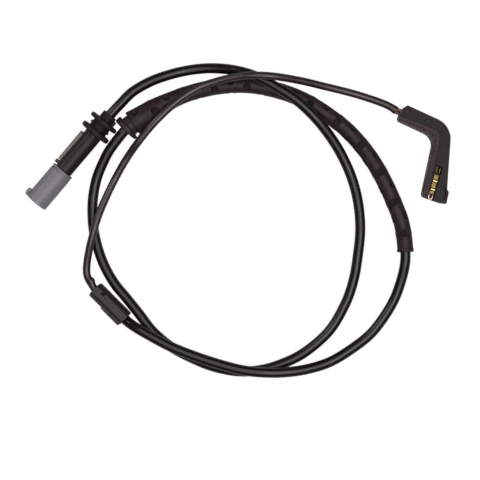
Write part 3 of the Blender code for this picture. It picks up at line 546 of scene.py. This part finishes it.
def metal(name, colour, stain_and_shade_colour, roughness, bright_from=None):
    """Stamped or drawn metal: bright ground with darker stained patches and a fine scratched grain.
    Where bright_from is given, what lies lower than that many millimetres takes the dark colour as
    painted shade, and what stands higher is painted brighter, as a highlight."""
    finish = Finish(name, Metallic=1.0)
    stains_and_shade = finish.noise(STAINS, 4.0).step(0.42, 0.75)
    # Below bright_from the dark colour is painted on as shade; above it the tops are painted bright.
    if bright_from is not None:
        bright = finish.height().step(bright_from, bright_from + BRIGHT_BLEND)
        stains_and_shade = 1.0 - bright * (1.0 - stains_and_shade * 0.5)
    grain = finish.noise(SCRATCHES, 2.0, SCRATCH_STRETCH)
    gloss = roughness + stains_and_shade * STAIN_GLOSS + (grain - 0.5) * SCRATCH_GLOSS
    finish.surface(Base_Color=finish.mixed(stains_and_shade, colour, stain_and_shade_colour), Roughness=gloss)
    finish.relief(grain, SCRATCH_DEPTH)
    return finish.material


# Only the spring's fold tops above 3.95 mm stay bright; the lower brass is painted shade.
BRASS = metal("brass", (0.78, 0.6, 0.32), (0.2, 0.125, 0.045), 0.24, 3.95)
DULL_BRASS = metal("dull_brass", (0.16, 0.11, 0.05), (0.05, 0.032, 0.016), 0.4)
COPPER = metal("copper", (0.85, 0.62, 0.52), (0.5, 0.28, 0.2), 0.3)
TINNED = metal("tinned", (0.72, 0.7, 0.66), (0.4, 0.38, 0.34), 0.28)
print(f"{len(bpy.data.materials)} materials")

# %% [markdown]
# Some solids are hidden inside the plug and the block. They only need a material, like the leads.

# %% Materials of the leads and of the hidden solids
def dressed(piece, material, slot, *nodes):
    """Gives a piece its material and hides the solids it stands for. slot is not used."""
    piece.data.materials.clear()
    piece.data.materials.append(material)
    if nodes:
        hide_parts(*nodes)


main_lead.data.materials.append(MAIN_JACKET)
branch_lead.data.materials.append(THIN_JACKET)
HIDDEN_FINISHES = {
    "contact_carrier": BLACK_MOULDED, "face_seal": SEAL_RUBBER, "cable_seal": SEAL_RUBBER,
    "terminal_1": TINNED, "terminal_2": TINNED, "plug_core_1": CORE_BROWN, "plug_core_2": CORE_BLACK,
    "splice_crimp_1": TINNED, "splice_crimp_2": TINNED,
}
for node, material in HIDDEN_FINISHES.items():
    solid = bpy.data.objects[node]
    solid.data.materials.clear()
    solid.data.materials.append(material)
print(f"{len(HIDDEN_FINISHES)} hidden solids have their material")

# %% [markdown]
# The photograph has a pure white ground, but a white table would be seen in every glossy edge. So
# the table is pale grey, and glows for the camera only, which still sees a faint shadow on it.

# %% Table
TABLE_SIZE = 6.0
TABLE_COLOUR = (0.55, 0.55, 0.55, 1.0)
TABLE_ROUGHNESS = 0.9
SHOWN_WHITE = 0.85
GLOW = 1.1

floor_finish = Finish("table_white", Base_Color=TABLE_COLOUR, Roughness=TABLE_ROUGHNESS)
lit = Field(floor_finish, floor_finish.shader.outputs[0])
glow = floor_finish.node("ShaderNodeEmission", sockets={"Strength": GLOW})
seen = floor_finish.node("ShaderNodeLightPath", output="Is Camera Ray") * SHOWN_WHITE
shown = floor_finish.node("ShaderNodeMixShader", sockets={0: seen, 1: lit, 2: glow})
floor_finish.feed(floor_finish.tree.nodes["Material Output"], 0, shown)
table_mesh = bpy.data.meshes.new("table")
table_corners = np.array([(-1, -1), (1, -1), (1, 1), (-1, 1)]) * TABLE_SIZE / 2
table_mesh.from_pydata([(x, y, 0.0) for x, y in table_corners], [], [(0, 1, 2, 3)])
table_mesh.materials.append(floor_finish.material)
table = bpy.data.objects.new("table", table_mesh)
bpy.context.scene.collection.objects.link(table)
print(f"table {TABLE_SIZE} m wide")

# %% [markdown]
# A wide lamp overhead gives the leads their soft grey line. A smaller one beside it adds a narrow
# second line: if it were smaller still, the line would be thinner than a pixel and break up into
# dots. A third lamp lights the sides that look to the far left.

# %% Lamps
WORLD_STRENGTH = 0.09

world = bpy.data.worlds.new("studio")
world.use_nodes = True
sky = world.node_tree.nodes["Background"]
sky.inputs["Color"].default_value = (1.0, 1.0, 1.0, 1.0)
sky.inputs["Strength"].default_value = WORLD_STRENGTH
bpy.context.scene.world = world


def lamp(name, place, size, power):
    """A rectangular lamp that faces the middle of the part."""
    light = bpy.data.lights.new(name, "AREA")
    light.shape = "RECTANGLE"
    light.size, light.size_y = size
    light.energy = power
    made = bpy.data.objects.new(name, light)
    made.location = place
    made.rotation_euler = Vector(place).to_track_quat("Z", "Y").to_euler()
    bpy.context.scene.collection.objects.link(made)
    print(f"{name}: {power} W over {size[0]} by {size[1]} m")


lamp("wide_lamp", (0.16, -0.12, 1.3), (1.8, 1.8), 19.0)
lamp("line_lamp", (0.3, -0.16, 1.25), (0.4, 0.4), 2.4)
lamp("side_lamp", (-0.9, 0.7, 0.8), (0.4, 0.4), 3.0)

# %% [markdown]
# The stiff pieces are turned rings, plates and boxes. Each starts from an outline whose corners
# carry their own fillets, which a Bevel modifier can't give.

# %% Outlines, rings and plates
STRAIGHT = 0.02


def rounded(corners, steps=5):
    """A closed outline from (x, y, fillet) corners. Each fillet is an arc whose radii to its points
    turn evenly from one side to the next."""
    points = [np.array(corner[:2], dtype=float) for corner in corners]
    fillets = [corner[2] if len(corner) > 2 else 0.0 for corner in corners]
    outline = []
    for k, (point, fillet) in enumerate(zip(points, fillets)):
        back, ahead = points[k - 1] - point, points[(k + 1) % len(points)] - point
        back, ahead = back / np.linalg.norm(back), ahead / np.linalg.norm(ahead)
        opening = math.acos(float(np.clip(back @ ahead, -1, 1)))
        if not fillet or opening > math.pi - STRAIGHT:
            outline.append(point)
            continue
        reach, swing = fillet / math.tan(opening / 2), math.pi - opening
        middle = (back + ahead) / np.linalg.norm(back + ahead)
        centre = point + middle * fillet / math.sin(opening / 2)
        first, last = point + back * reach - centre, point + ahead * reach - centre
        t = np.linspace(0, 1, steps + 1)[:, None]
        arc = first * np.sin((1 - t) * swing) + last * np.sin(t * swing)
        outline.extend(centre + arc / math.sin(swing))
    return np.array(outline)


def plan_of(axis):
    """The frame whose X runs across an assembly, Y along it, and Z up."""
    return axis @ Matrix(((0, 0, 1, 0), (1, 0, 0, 0), (0, 1, 0, 0), (0, 0, 0, 1)))


def ring(name, profile, axis, sides=72, steps=4):
    """A closed (radius, distance, fillet) profile turned about an axis:
    point = radius (cos(angle) X + sin(angle) Y) + distance Z."""
    outline = rounded(profile, steps)
    angle = np.linspace(0, math.tau, sides, endpoint=False)[None, :]
    radius, distance = outline[:, :1], outline[:, 1:] + 0 * angle
    points = np.stack([radius * np.cos(angle), radius * np.sin(angle), distance], axis=-1)
    return outward(grid_piece(name, placed(points, axis), closed=True))


def plate(name, outline, low, high, frame):
    """A flat outline carried from one height to another."""
    flat = np.array(outline, dtype=float)[:, :2]
    levels = [np.column_stack([flat, np.full(len(flat), level)]) for level in (low, high)]
    return outward(grid_piece(name, placed(np.stack(levels), frame)))


def box(name, low, high, frame):
    """A box between two corners."""
    (x0, y0, z0), (x1, y1, z1) = low, high
    return plate(name, [(x0, y0), (x1, y0), (x1, y1), (x0, y1)], z0, z1, frame)


def rod(name, radius, start, end, axis, across=(0.0, 0.0), sides=32):
    """A cylinder along an axis, or beside it."""
    angle = np.linspace(0, math.tau, sides, endpoint=False)
    flat = np.column_stack([radius * np.cos(angle) + across[0], radius * np.sin(angle) + across[1]])
    return plate(name, flat, start, end, axis)


print("rings, plates, boxes and rods can be made")

# %% [markdown]
# Boolean modifiers cut and join the shapes, and a Bevel modifier rounds what is left sharp, since a
# moulded piece has no sharp edge. Both are applied at once, to plain meshes.

# %% Cutting, joining and softening
def changed(meshes, setup):
    """The first mesh after the modifiers that setup adds to its helper object."""
    helpers = [bpy.data.objects.new(mesh.name, mesh) for mesh in meshes]
    for helper in helpers:
        bpy.context.scene.collection.objects.link(helper)
    setup(helpers)
    bpy.context.view_layer.update()
    evaluated = helpers[0].evaluated_get(bpy.context.evaluated_depsgraph_get())
    result = bpy.data.meshes.new_from_object(evaluated)
    for helper in helpers:
        bpy.data.objects.remove(helper)
    return result


def combined(operation, base, *others):
    """The base mesh joined to the others (UNION), with the others cut from it (DIFFERENCE), or
    where it lies inside them (INTERSECT)."""
    def setup(helpers):
        for other in helpers[1:]:
            change = helpers[0].modifiers.new(operation, "BOOLEAN")
            change.operation, change.solver, change.object = operation, "EXACT", other
    return changed((base, *others), setup)


def softened(mesh, width, segments=3, limit=30):
    """The mesh with each edge sharper than the limit rounded over a width in millimetres."""
    def setup(helpers):
        bevel = helpers[0].modifiers.new("rounded edges", "BEVEL")
        bevel.width, bevel.segments = width * MM, segments
        bevel.limit_method, bevel.angle_limit = "ANGLE", math.radians(limit)
        bevel.use_clamp_overlap = True
    return changed((mesh,), setup)


print("shapes can be cut, joined and softened")

# %% [markdown]
# Edges that stick out get rubbed pale and are painted with a highlight, and inner corners are
# painted dark as shade. A material can't see an edge, so the bend of the surface is stored at each
# point, but not on broad faces, where it would smear.

# %% Marks for edges, rubbed and painted bright, and for corners painted with shade
BEND_FROM, BEND_RANGE = math.radians(8), math.radians(20)
BROAD = 0.25


def read(items, name, kind, width=1):
    """One value or vector of every element of a mesh, as an array."""
    values = np.empty(len(items) * width, dtype=kind)
    items.foreach_get(name, values)
    return values.reshape(-1, width) if width > 1 else values


def edge_marks(mesh):
    """wear rises to 1 where narrow faces bend outward by BEND_FROM + BEND_RANGE, and hollow
    where they bend inward: the first is partly wear and partly a painted highlight, the second is
    painted shade. The loops are sorted by edge, so that an edge's two faces stand side by side."""
    loop_edge = read(mesh.loops, "edge_index", np.int32)
    loop_point = read(mesh.loops, "vertex_index", np.int32)
    loop_face = np.repeat(np.arange(len(mesh.polygons)), read(mesh.polygons, "loop_total", np.int32))
    ends = read(mesh.edges, "vertices", np.int32, 2)
    places = read(mesh.vertices, "co", np.float32, 3)
    run = np.linalg.norm(places[ends[:, 0]] - places[ends[:, 1]], axis=1)
    round_face = np.bincount(loop_face, weights=run[loop_edge], minlength=len(mesh.polygons))
    broad = read(mesh.polygons, "area", np.float32) / np.maximum(round_face, 1e-9) > BROAD * MM
    kept = np.ones(len(mesh.vertices), dtype=bool)
    kept[loop_point[broad[loop_face]]] = False
    order = np.argsort(loop_edge, kind="stable")
    edge, face = loop_edge[order], loop_face[order]
    pair = np.flatnonzero(edge[:-1] == edge[1:])
    one, other = face[pair], face[pair + 1]
    normal = read(mesh.polygons, "normal", np.float32, 3)
    centre = read(mesh.polygons, "center", np.float32, 3)
    bend = np.arccos(np.clip((normal[one] * normal[other]).sum(1), -1, 1))
    amount = np.clip((bend - BEND_FROM) / BEND_RANGE, 0, 1)
    rises = ((centre[other] - centre[one]) * normal[one]).sum(1)
    # The outward mark is partly wear and partly a painted highlight; the inward mark is painted shade.
    for name, value in (("wear", amount * (rises < 0)), ("hollow", amount * (rises > 0))):
        mark = np.zeros(len(mesh.vertices), dtype=np.float32)
        for column in (0, 1):
            np.maximum.at(mark, ends[edge[pair], column], value.astype(np.float32))
        if name not in mesh.attributes:
            mesh.attributes.new(name, "FLOAT", "POINT")
        mesh.attributes[name].data.foreach_set("value", mark * kept)


def piece(name, mesh, material, slot, *nodes, weighted=True):
    """A finished piece with its material, with the solids it stands for hidden. slot is passed on, but
    not used.
    """
    edge_marks(mesh)
    dressed(finished(name, mesh, weighted), material, slot, *nodes)
    print(f"{name}: {len(mesh.polygons)} faces")


print("edges can be marked")

# %% [markdown]
# The mating connector enters the grey shell of the plug, which has a lug beside its mouth and a
# groove near its rear end. It is turned from a closed profile of (radius, distance from the mouth,
# fillet), which gives the wall and the open bore in one go.

# %% Plug shell
PLUG_PLAN = plan_of(PLUG_AXIS)
shell = ring("shell", [
    (5.85, 0, 0.5), (5.85, 19.3, 0.1), (5.4, 19.4, 0.1), (5.4, 19.9, 0.1), (5.85, 20.0, 0.25),
    (5.85, 21, 0.3), (4.65, 21, 0.1), (4.65, 0, 0.35),
], PLUG_AXIS, sides=96)
lug = softened(box("lug", (-7.5, 0.9, -1.65), (-5.1, 3.7, 1.65), PLUG_PLAN), 0.4)
lug_lip = softened(box("lug_lip", (-7.0, 0.1, -2.2), (-5.1, 1.5, 2.2), PLUG_PLAN), 0.3)
piece("shell", combined("UNION", shell, lug, lug_lip), GREY_SHELL, "grey_plastic", "plug_shell")

# %% [markdown]
# The barrel narrows to a nose inside the shell. Its bore is open, and holds the lead's seal at the
# rear. A rib on its side guides the plug; it is the barrel's black plastic, painted pale as a
# highlight. A small latch nub stands in front of the rib. Both are plates that stand on it, with a
# finish of their own.

# %% Barrel, rib and nub
barrel = ring("barrel", [
    (4.6, 44.5, 0.35), (4.6, 43.2, 0.1), (4.45, 43.1, 0.1), (4.45, 42.7, 0.1), (4.6, 42.6, 0.1),
    (4.6, 21.3, 0.5), (4.35, 21.3, 0), (4.35, 17.2, 0.3), (3.0, 17.2, 0), (3.0, 35.5, 0),
    (3.95, 35.5, 0), (3.95, 44.5, 0),
], PLUG_AXIS)
piece("barrel_skin", barrel, BLACK_MOULDED, "black_plastic", "barrel")


def wall_plate(name, outline, low, high):
    """A plate on the barrel's side: its outline in (up, along), its height out from the axis."""
    turn = Matrix(((0, 0, -1, 0), (0, 1, 0, 0), (1, 0, 0, 0), (0, 0, 0, 1)))
    return plate(name, outline, low, high, PLUG_PLAN @ turn)


rib = wall_plate("rib", rounded([
    (-1.3, 24.2, 0.4), (1.6, 24.2, 0.4), (1.9, 32, 0), (2.4, 41.0, 0.6), (0.8, 42.2, 0.4),
    (-1.5, 42.2, 0.4), (-1.5, 34.5, 0), (-1.3, 32, 0),
]), 3.6, 5.9)
piece("rib", softened(rib, 0.3), RIB_PAINTED_HIGHLIGHT, "black_plastic", "barrel")
nub = wall_plate("nub", rounded([
    (-1.2, 21.9, 0.3), (1.2, 21.9, 0.3), (1.2, 23.8, 0.3), (-1.2, 23.8, 0.3),
]), 4.2, 6.3)
piece("nub", softened(nub, 0.3), NUB_MOULDED, "black_plastic", "barrel")

# %% [markdown]
# The bracket grommet is turned rubber: two flanges with a ribbed groove between them for the edge
# of a bracket, and a soft collar with a small ear. Large fillets make it read as rubber.

# %% Bracket grommet
grommet = ring("grommet", [
    (3.8, 57.5, 0.6), (3.8, 53.4, 0.25), (7.8, 53.4, 0.7), (7.8, 51.3, 0.7), (4.9, 51.3, 0.2),
    (4.9, 49.85, 0.15), (5.6, 49.85, 0.3), (5.6, 48.75, 0.3), (4.9, 48.75, 0.15), (4.9, 47.3, 0.2),
    (8.0, 47.3, 0.8), (8.0, 44.8, 0.8), (2.9, 44.8, 0.1), (2.9, 57.5, 0.1),
], PLUG_AXIS, sides=96)
ear = softened(box("ear", (2.9, 53.0, -1.4), (5.0, 56.2, 1.4), PLUG_PLAN), 0.5)
piece("grommet", combined("UNION", grommet, ear), BLACK_RUBBER, "black_rubber", "bracket_grommet")

# %% [markdown]
# The sleeve is one moulding: a flange and a neck that seat in a second bracket, a boot that tapers,
# and a long hose round the lead with a slightly flared end. Its profile has close points, so that
# it can bend smoothly.

# %% Profile of the sleeve
SLEEVE_START, SLEEVE_LENGTH = 469.8, 191.5
SLEEVE_STEP = 0.32
BORE, BORE_POINTS = 2.9, 80
HOSE_RADIUS, BOOT_FLARE, BOOT_POWER = 4.0, 2.7, 1.6
BOOT_START, BOOT_LENGTH, BOOT_POINTS = 4.9, 32, 24


def eased(line, times):
    """Each point moved to a quarter of both neighbours plus half of itself, several times."""
    line = line.copy()
    for _ in range(times):
        line[1:-1] = line[:-2] / 4 + line[1:-1] / 2 + line[2:] / 4
    return line


def evenly(profile, spacing):
    """The profile with points added, so that none are farther apart than the spacing."""
    out = []
    for a, b in zip(profile[:-1], profile[1:]):
        count = max(1, math.ceil(np.linalg.norm(b - a) / spacing))
        out.append(a + (b - a) * np.linspace(0, 1, count, endpoint=False)[:, None])
    return np.vstack([*out, profile[-1:]])


boot_line = [
    (HOSE_RADIUS + BOOT_FLARE * (1 - share) ** BOOT_POWER, BOOT_START + BOOT_LENGTH * share, 0)
    for share in np.linspace(0, 1, BOOT_POINTS)[1:]
]
outer = [(6.75, 0, 0.6), (6.75, 2.5, 0.6), (5.1, 2.5, 0.1), (5.05, 4.9, 0.15), (6.7, 4.9, 0.5)]
outer += boot_line + [(4.0, 187.5, 0), (4.0, 189.6, 0.5), (4.2, 190.2, 0.3), (4.2, 191.5, 0.25)]
outside = evenly(rounded(outer + [(BORE, SLEEVE_LENGTH, 0), (BORE, 0, 0)])[:-2], SLEEVE_STEP)
inner_line = [np.full(BORE_POINTS, BORE), np.linspace(SLEEVE_LENGTH, 0, BORE_POINTS)]
profile = np.vstack([outside, np.column_stack(inner_line)])
skin = np.arange(len(profile)) < len(outside)
print(f"{len(profile)} points in the profile, of which {skin.sum()} are outside")

# %% [markdown]
# Round dimples stand in rows along the sleeve, three to a ring, each with a low rim. Cutting them
# with a Boolean would leave thin faces, so they are dents in the radius. The rows drift round where
# the photograph shows it. The depth of the dent is stored as "pit", which the material uses to paint
# shade into the dimples.

# %% Surface of the sleeve
SLEEVE_SIDES, EASE_TIMES = 112, 12
PIT_RADIUS, PIT_DEPTH, PIT_PITCH, PITS_ROUND = 1.65, 0.85, 16.5, 3
RIM_PLACE, RIM_WIDTH, RIM_HEIGHT = 1.08, 0.2, 0.14
PIT_ROWS = ((17.2, -2.0), (8.8, 43.0))
TWIST, TWIST_PLACE, TWIST_SPREAD = -22.0, 50.0, 40.0
LEAST_RADIUS = 3.0

fine_line = eased(smooth_route(MAIN_KNOTS, SLEEVE_STEP), EASE_TIMES)
stations = np.clip(profile[:, 1], 0, SLEEVE_LENGTH) + SLEEVE_START
fine_travel = travelled(fine_line)
fine_side, fine_up = lead_frames(fine_line)


def at_stations(values):
    """Values along the fine line read at the profile's stations."""
    return np.stack([np.interp(stations, fine_travel, values[:, k]) for k in range(3)], axis=1)


angle = np.linspace(0, math.tau, SLEEVE_SIDES, endpoint=False)
base_radius, length = profile[:, :1], profile[:, 1:2]
dent, rim = np.zeros((2, len(profile), SLEEVE_SIDES))
for first, turn in PIT_ROWS:
    for place in np.arange(first, SLEEVE_LENGTH - PIT_PITCH / 2, PIT_PITCH):
        twist = TWIST * math.exp(-((place - TWIST_PLACE) / TWIST_SPREAD) ** 2)
        for k in range(PITS_ROUND):
            centre = math.radians(turn + twist + 360 // PITS_ROUND * k)
            round_way = (angle[None, :] - centre + math.pi) % math.tau - math.pi
            round_way = round_way * np.maximum(base_radius, LEAST_RADIUS)
            away = np.hypot(length - place, round_way) / PIT_RADIUS
            dent = np.maximum(dent, np.clip(1 - away ** 3, 0, 1))
            rim = np.maximum(rim, np.exp(-((away - RIM_PLACE) / RIM_WIDTH) ** 2))
dent, rim = dent * skin[:, None], rim * skin[:, None]
radius = base_radius - PIT_DEPTH * dent + RIM_HEIGHT * rim
spread = np.cos(angle)[None, :, None] * at_stations(fine_up)[:, None]
spread = spread - np.sin(angle)[None, :, None] * at_stations(fine_side)[:, None]
sleeve_points = at_stations(fine_line)[:, None] + radius[..., None] * spread
sleeve_mesh = grid_piece("sleeve", sleeve_points, closed=True)
# The pit values paint the dimples darker, as shade.
pit_values = sleeve_mesh.attributes.new("pit", "FLOAT", "POINT").data
pit_values.foreach_set("value", dent.astype(np.float32).ravel())
piece("sleeve", sleeve_mesh, SLEEVE_RUBBER, "black_rubber", "protective_sleeve", weighted=False)

# %% [markdown]
# The splice block joins the thin lead to the main one. Seen from its end it is a broad base with a
# dome on top. One outline is carried along the cap and the housing alike, and a rounded plan trims
# its corners. The cap has a small window.

# %% Section and cap of the splice block
BLOCK_PLAN = plan_of(BLOCK_AXIS)
SPLIT, CORNER = 7.6, 0.7
SECTION = rounded([
    (-4.2, -4.3, 0.7), (0.2, -4.3, 0.6), (0.6, -3.75, 0.3), (4.2, -3.1, 2.2),
    (4.2, 3.1, 2.2), (0.6, 3.75, 0.3), (0.2, 4.3, 0.6), (-4.2, 4.3, 0.7),
])


def block_length(name, start, end, first_corner, last_corner):
    """A length of the block: its section carried along the axis, with corners rounded in plan."""
    body = softened(plate(name, SECTION, start, end, BLOCK_AXIS), 0.08, 2, 60)
    first, last = first_corner + CORNER, last_corner + CORNER
    plan = rounded([(-5, start, first), (5, start, first), (5, end, last), (-5, end, last)])
    return combined("INTERSECT", body, plate(f"{name}_plan", plan, -6, 6, BLOCK_PLAN))


cap = combined(
    "DIFFERENCE", block_length("cap", 0, SPLIT, 1.3, 0.0),
    box("cap_pocket", (-3.1, 2.6, -3.0), (3.1, 20, 3.0), BLOCK_PLAN),
    rod("branch_hole", 2.2, -3, 5.2, BLOCK_AXIS),
    box("window", (-2.8, 3.9, 0), (-0.6, 6.1, 9), BLOCK_PLAN),
)
piece("splice_cap_skin", cap, BLOCK_MOULDED, "black_plastic", "splice_cap")

# %% [markdown]
# The housing carries on the same section after a hair line. Its nose plugs into the cap, a rail
# runs along its lower left side, and a small catch stands on top. It is hollow, like its solid.

# %% Splice housing
PARTING = 0.1
housing = combined(
    "UNION", block_length("housing", SPLIT + PARTING, BLOCK_LENGTH, 0.0, 0.9),
    box("nose", (-2.8, 6.3, -2.7), (2.8, 8.6, 2.7), BLOCK_PLAN),
    softened(box("rail", (3.6, 9.0, -3.7), (5.0, 21.0, -1.3), BLOCK_PLAN), 0.3),
    softened(box("catch", (3.3, 9.4, 0.0), (4.25, 13.2, 1.5), BLOCK_PLAN), 0.3),
)
housing = combined(
    "DIFFERENCE", housing, box("chamber", (-2.1, 0, -2.0), (2.1, 15.3, 2.0), BLOCK_PLAN),
    rod("main_hole", 2.9, 8, 30, BLOCK_AXIS),
)
piece("splice_housing_skin", housing, BLOCK_MOULDED, "black_plastic", "splice_housing")

# %% [markdown]
# The head is a bent plate. Its inner edge carries a raised rail that follows the bend, and the web
# beside it is lower. Its outlines are in plan, measured from where the cores enter.

# %% Plate of the sensor head
HEAD_PLAN = Matrix.Translation((*HEAD_END, 0))
HEAD_OUTLINE = [
    (-0.4, 2.35, 0), (2.3, 4.05, 0.6), (24.35, -6.1, 10.8), (22.4, -33.3, 0), (22.1, -38.0, 0),
    (23.0, -39.3, 0.3), (21.75, -45.3, 0.5), (18.45, -44.9, 0), (9.0, -41.6, 1.8), (15.25, -12.2, 6.5),
    (-2.3, -4.05, 0.6), (-2.8, -2.3, 0),
]
WEB_OUTLINE = [
    (-8.0, 0.48, 0), (18.4, -9.5, 4.5), (10.9, -50.0, 0),
    (35.0, -50.0, 0), (35.0, 12.0, 0), (-8.0, 12.0, 0),
]
HEAD_HEIGHT, WEB_HEIGHT = 7.6, 5.4
BEND_STEPS, HEAD_EDGE = 9, 0.55

head = plate("head", rounded(HEAD_OUTLINE, BEND_STEPS), 0, HEAD_HEIGHT, HEAD_PLAN)
web = plate("web", rounded(WEB_OUTLINE, BEND_STEPS), WEB_HEIGHT, 15, HEAD_PLAN)
head = softened(combined("DIFFERENCE", head, web), HEAD_EDGE)
print(f"head plate: {len(head.polygons)} faces")

# %% [markdown]
# Then comes what is cut into the plate: the pocket for the spring contact, the slot of the hook
# tab, the marks of the mould's pins, the holes for the cores, and two faint grooves along the rail.
# They are cut after the softening, so that they stay crisp, as in the photograph.

# %% Cuts in the sensor head
POCKET_TURN = Matrix.Rotation(math.radians(-106), 4, "Z")
POCKET_FRAME = HEAD_PLAN @ Matrix.Translation((18.3, -26.4, 2.4)) @ POCKET_TURN
MOULD_PINS = [(11.0, -3.65), (18.45, -9.45), (22.2, -15.85), (20.6, -36.6)]
PIN_RADIUS, PIN_DEPTH = 0.55, 1.2
CORE_HOLE, CORE_HOLES = 1.05, (-0.9, 0.9)
SLOT_FROM, SLOT_TO, SLOT_FLOOR = (21.5, -37.4), (20.8, -43.4), 2.7
RAIL_GROOVES = ((1.1, 0.5), (2.3, 0.4))
# A corner's x, y and fillet, and how each moves when the groove moves in by 1 mm.
GROOVE_TRACK = [
    ((-8.0, 0.48, 0), (0, -1, 0)), ((18.4, -9.5, 4.5), (-1.14, -1.32, 1)),
    ((10.9, -39.5, 0), (-0.96, 0, 0)), ((10.4, -39.5, 0), (-0.96, 0, 0)),
    ((17.9, -10.0, 4.0), (-1.14, -1.32, 1)), ((-8.0, -0.02, 0), (0, -1, 0)),
]

slot_run = Vector(SLOT_TO) - Vector(SLOT_FROM)
slot_turn = Matrix.Rotation(math.atan2(*slot_run.yx), 4, "Z")
slot_frame = HEAD_PLAN @ Matrix.Translation((*SLOT_FROM, SLOT_FLOOR)) @ slot_turn
cutters = [
    box("pocket", (0, -1.7, 0), (32, 1.7, 8), POCKET_FRAME),
    box("slot", (0, -0.25, 0), (slot_run.length, 0.25, 8), slot_frame),
]
cutters += [
    rod(f"pin_{k}", PIN_RADIUS, WEB_HEIGHT - PIN_DEPTH, 9, HEAD_PLAN, place, 20)
    for k, place in enumerate(MOULD_PINS)
]
cutters += [
    rod(f"core_hole_{k}", CORE_HOLE, -6, 6, ARM_AXIS @ Matrix.Translation((0, side, 0)))
    for k, side in enumerate(CORE_HOLES)
]
head = combined("DIFFERENCE", head, *cutters)
for k, (inset, depth) in enumerate(RAIL_GROOVES):
    track = [np.array(corner) + inset * np.array(shift) for corner, shift in GROOVE_TRACK]
    track = rounded(track, BEND_STEPS)
    head = combined("DIFFERENCE", head, plate(f"groove_{k}", track, HEAD_HEIGHT - depth, 9, HEAD_PLAN))
gate = softened(rod("gate", 1.2, 4.9, 5.75, HEAD_PLAN, (4.55, 0.7), 36), 0.12, 2)
head = combined("UNION", head, gate)
piece("head", head, HEAD_MOULDED, "black_plastic", "sensor_head")

# %% [markdown]
# The contact in the pocket is a strip of brass with two folded bars, drawn from the side as a line
# with four corners to each fold, and the same line moved up. Two crimps hold the cores above it.

# %% Spring contact and crimps
SPRING_START, SPRING_LENGTH, SPRING_WIDTH = 4.6, 9.6, 2.2
FOLD_WIDTH, FOLD_HEIGHT, STRIP = 1.5, 1.1, 0.35
FOLD_PLACES = (0.33, 0.78)
FOLD_CORNERS = ((-0.5, 0, 0.2), (-0.28, 1, 0.3), (0.28, 1, 0.3), (0.5, 0, 0.2))
CRIMP_RADIUS, CRIMP_LENGTH = 0.68, 3
run = [(SPRING_START, 0)]
for share in FOLD_PLACES:
    middle = SPRING_START + share * SPRING_LENGTH
    for across, height, fillet in FOLD_CORNERS:
        run.append((middle + across * FOLD_WIDTH, height * FOLD_HEIGHT, fillet))
run.append((SPRING_START + SPRING_LENGTH, 0))
lower = rounded([*run, (run[-1][0], -1), (run[0][0], -1)])[:-2]
above = lower[::-1] + np.array([0.0, STRIP])
stand = POCKET_FRAME @ Matrix.Translation((0, 0, 0.3)) @ Matrix.Rotation(math.pi / 2, 4, "X")
spring = plate("spring", np.vstack([lower, above]), -SPRING_WIDTH / 2, SPRING_WIDTH / 2, stand)
piece("spring", softened(spring, 0.06, 2), BRASS, "brass", "spring_contact")
for number, side in ((1, -1), (2, 1)):
    lay = Matrix.Translation((0.3, side * 0.83, 0.98)) @ Matrix.Rotation(math.pi / 2, 4, "Y")
    crimp = rod(f"crimp_{number}", CRIMP_RADIUS, 0, CRIMP_LENGTH, POCKET_FRAME @ lay)
    crimp = softened(crimp, 0.12, 2)
    piece(f"crimp_{number}", crimp, DULL_BRASS, "brass", f"contact_crimp_{number}")

# %% [markdown]
# At the worn end a bare copper hairpin is rubbed through by the brake disc when the pad is thin. It
# is a tube along half a circle between two legs. At the other end a brown and a black core bridge
# the gap between the jacket and the head.

# %% Wear loop and cores
LOOP_RADIUS, LOOP_BEND = 0.45, 0.95
LOOP_START, LOOP_END, LOOP_RISE = 14.95, 17.1, 0.75
LOOP_POINTS, LOOP_SIDES = 25, 16
CORE_RADIUS, CORE_ASIDE = 0.85, 0.84
swing = np.linspace(math.pi / 2, -math.pi / 2, LOOP_POINTS)
bend = [LOOP_END - LOOP_BEND + LOOP_BEND * np.cos(swing), LOOP_BEND * np.sin(swing)]
legs = [(LOOP_START, LOOP_BEND)], [(LOOP_START, -LOOP_BEND)]
hairpin = np.vstack([legs[0], np.column_stack(bend), legs[1]])
hairpin = placed(np.column_stack([hairpin, np.full(len(hairpin), LOOP_RISE)]), POCKET_FRAME)
loop_points, _ = tube_points(hairpin, LOOP_RADIUS, LOOP_SIDES)
piece("loop", grid_piece("loop", loop_points), COPPER, "copper", "wear_loop", weighted=False)
for number, side, shade, finish in ((1, -1, "brown", CORE_BROWN), (2, 1, "black", CORE_BLACK)):
    core = rod(f"core_{number}", CORE_RADIUS, -4.4, 4.5, ARM_AXIS, (0, side * CORE_ASIDE), 24)
    piece(f"core_{number}", core, finish, f"core_{shade}", f"head_core_{number}")
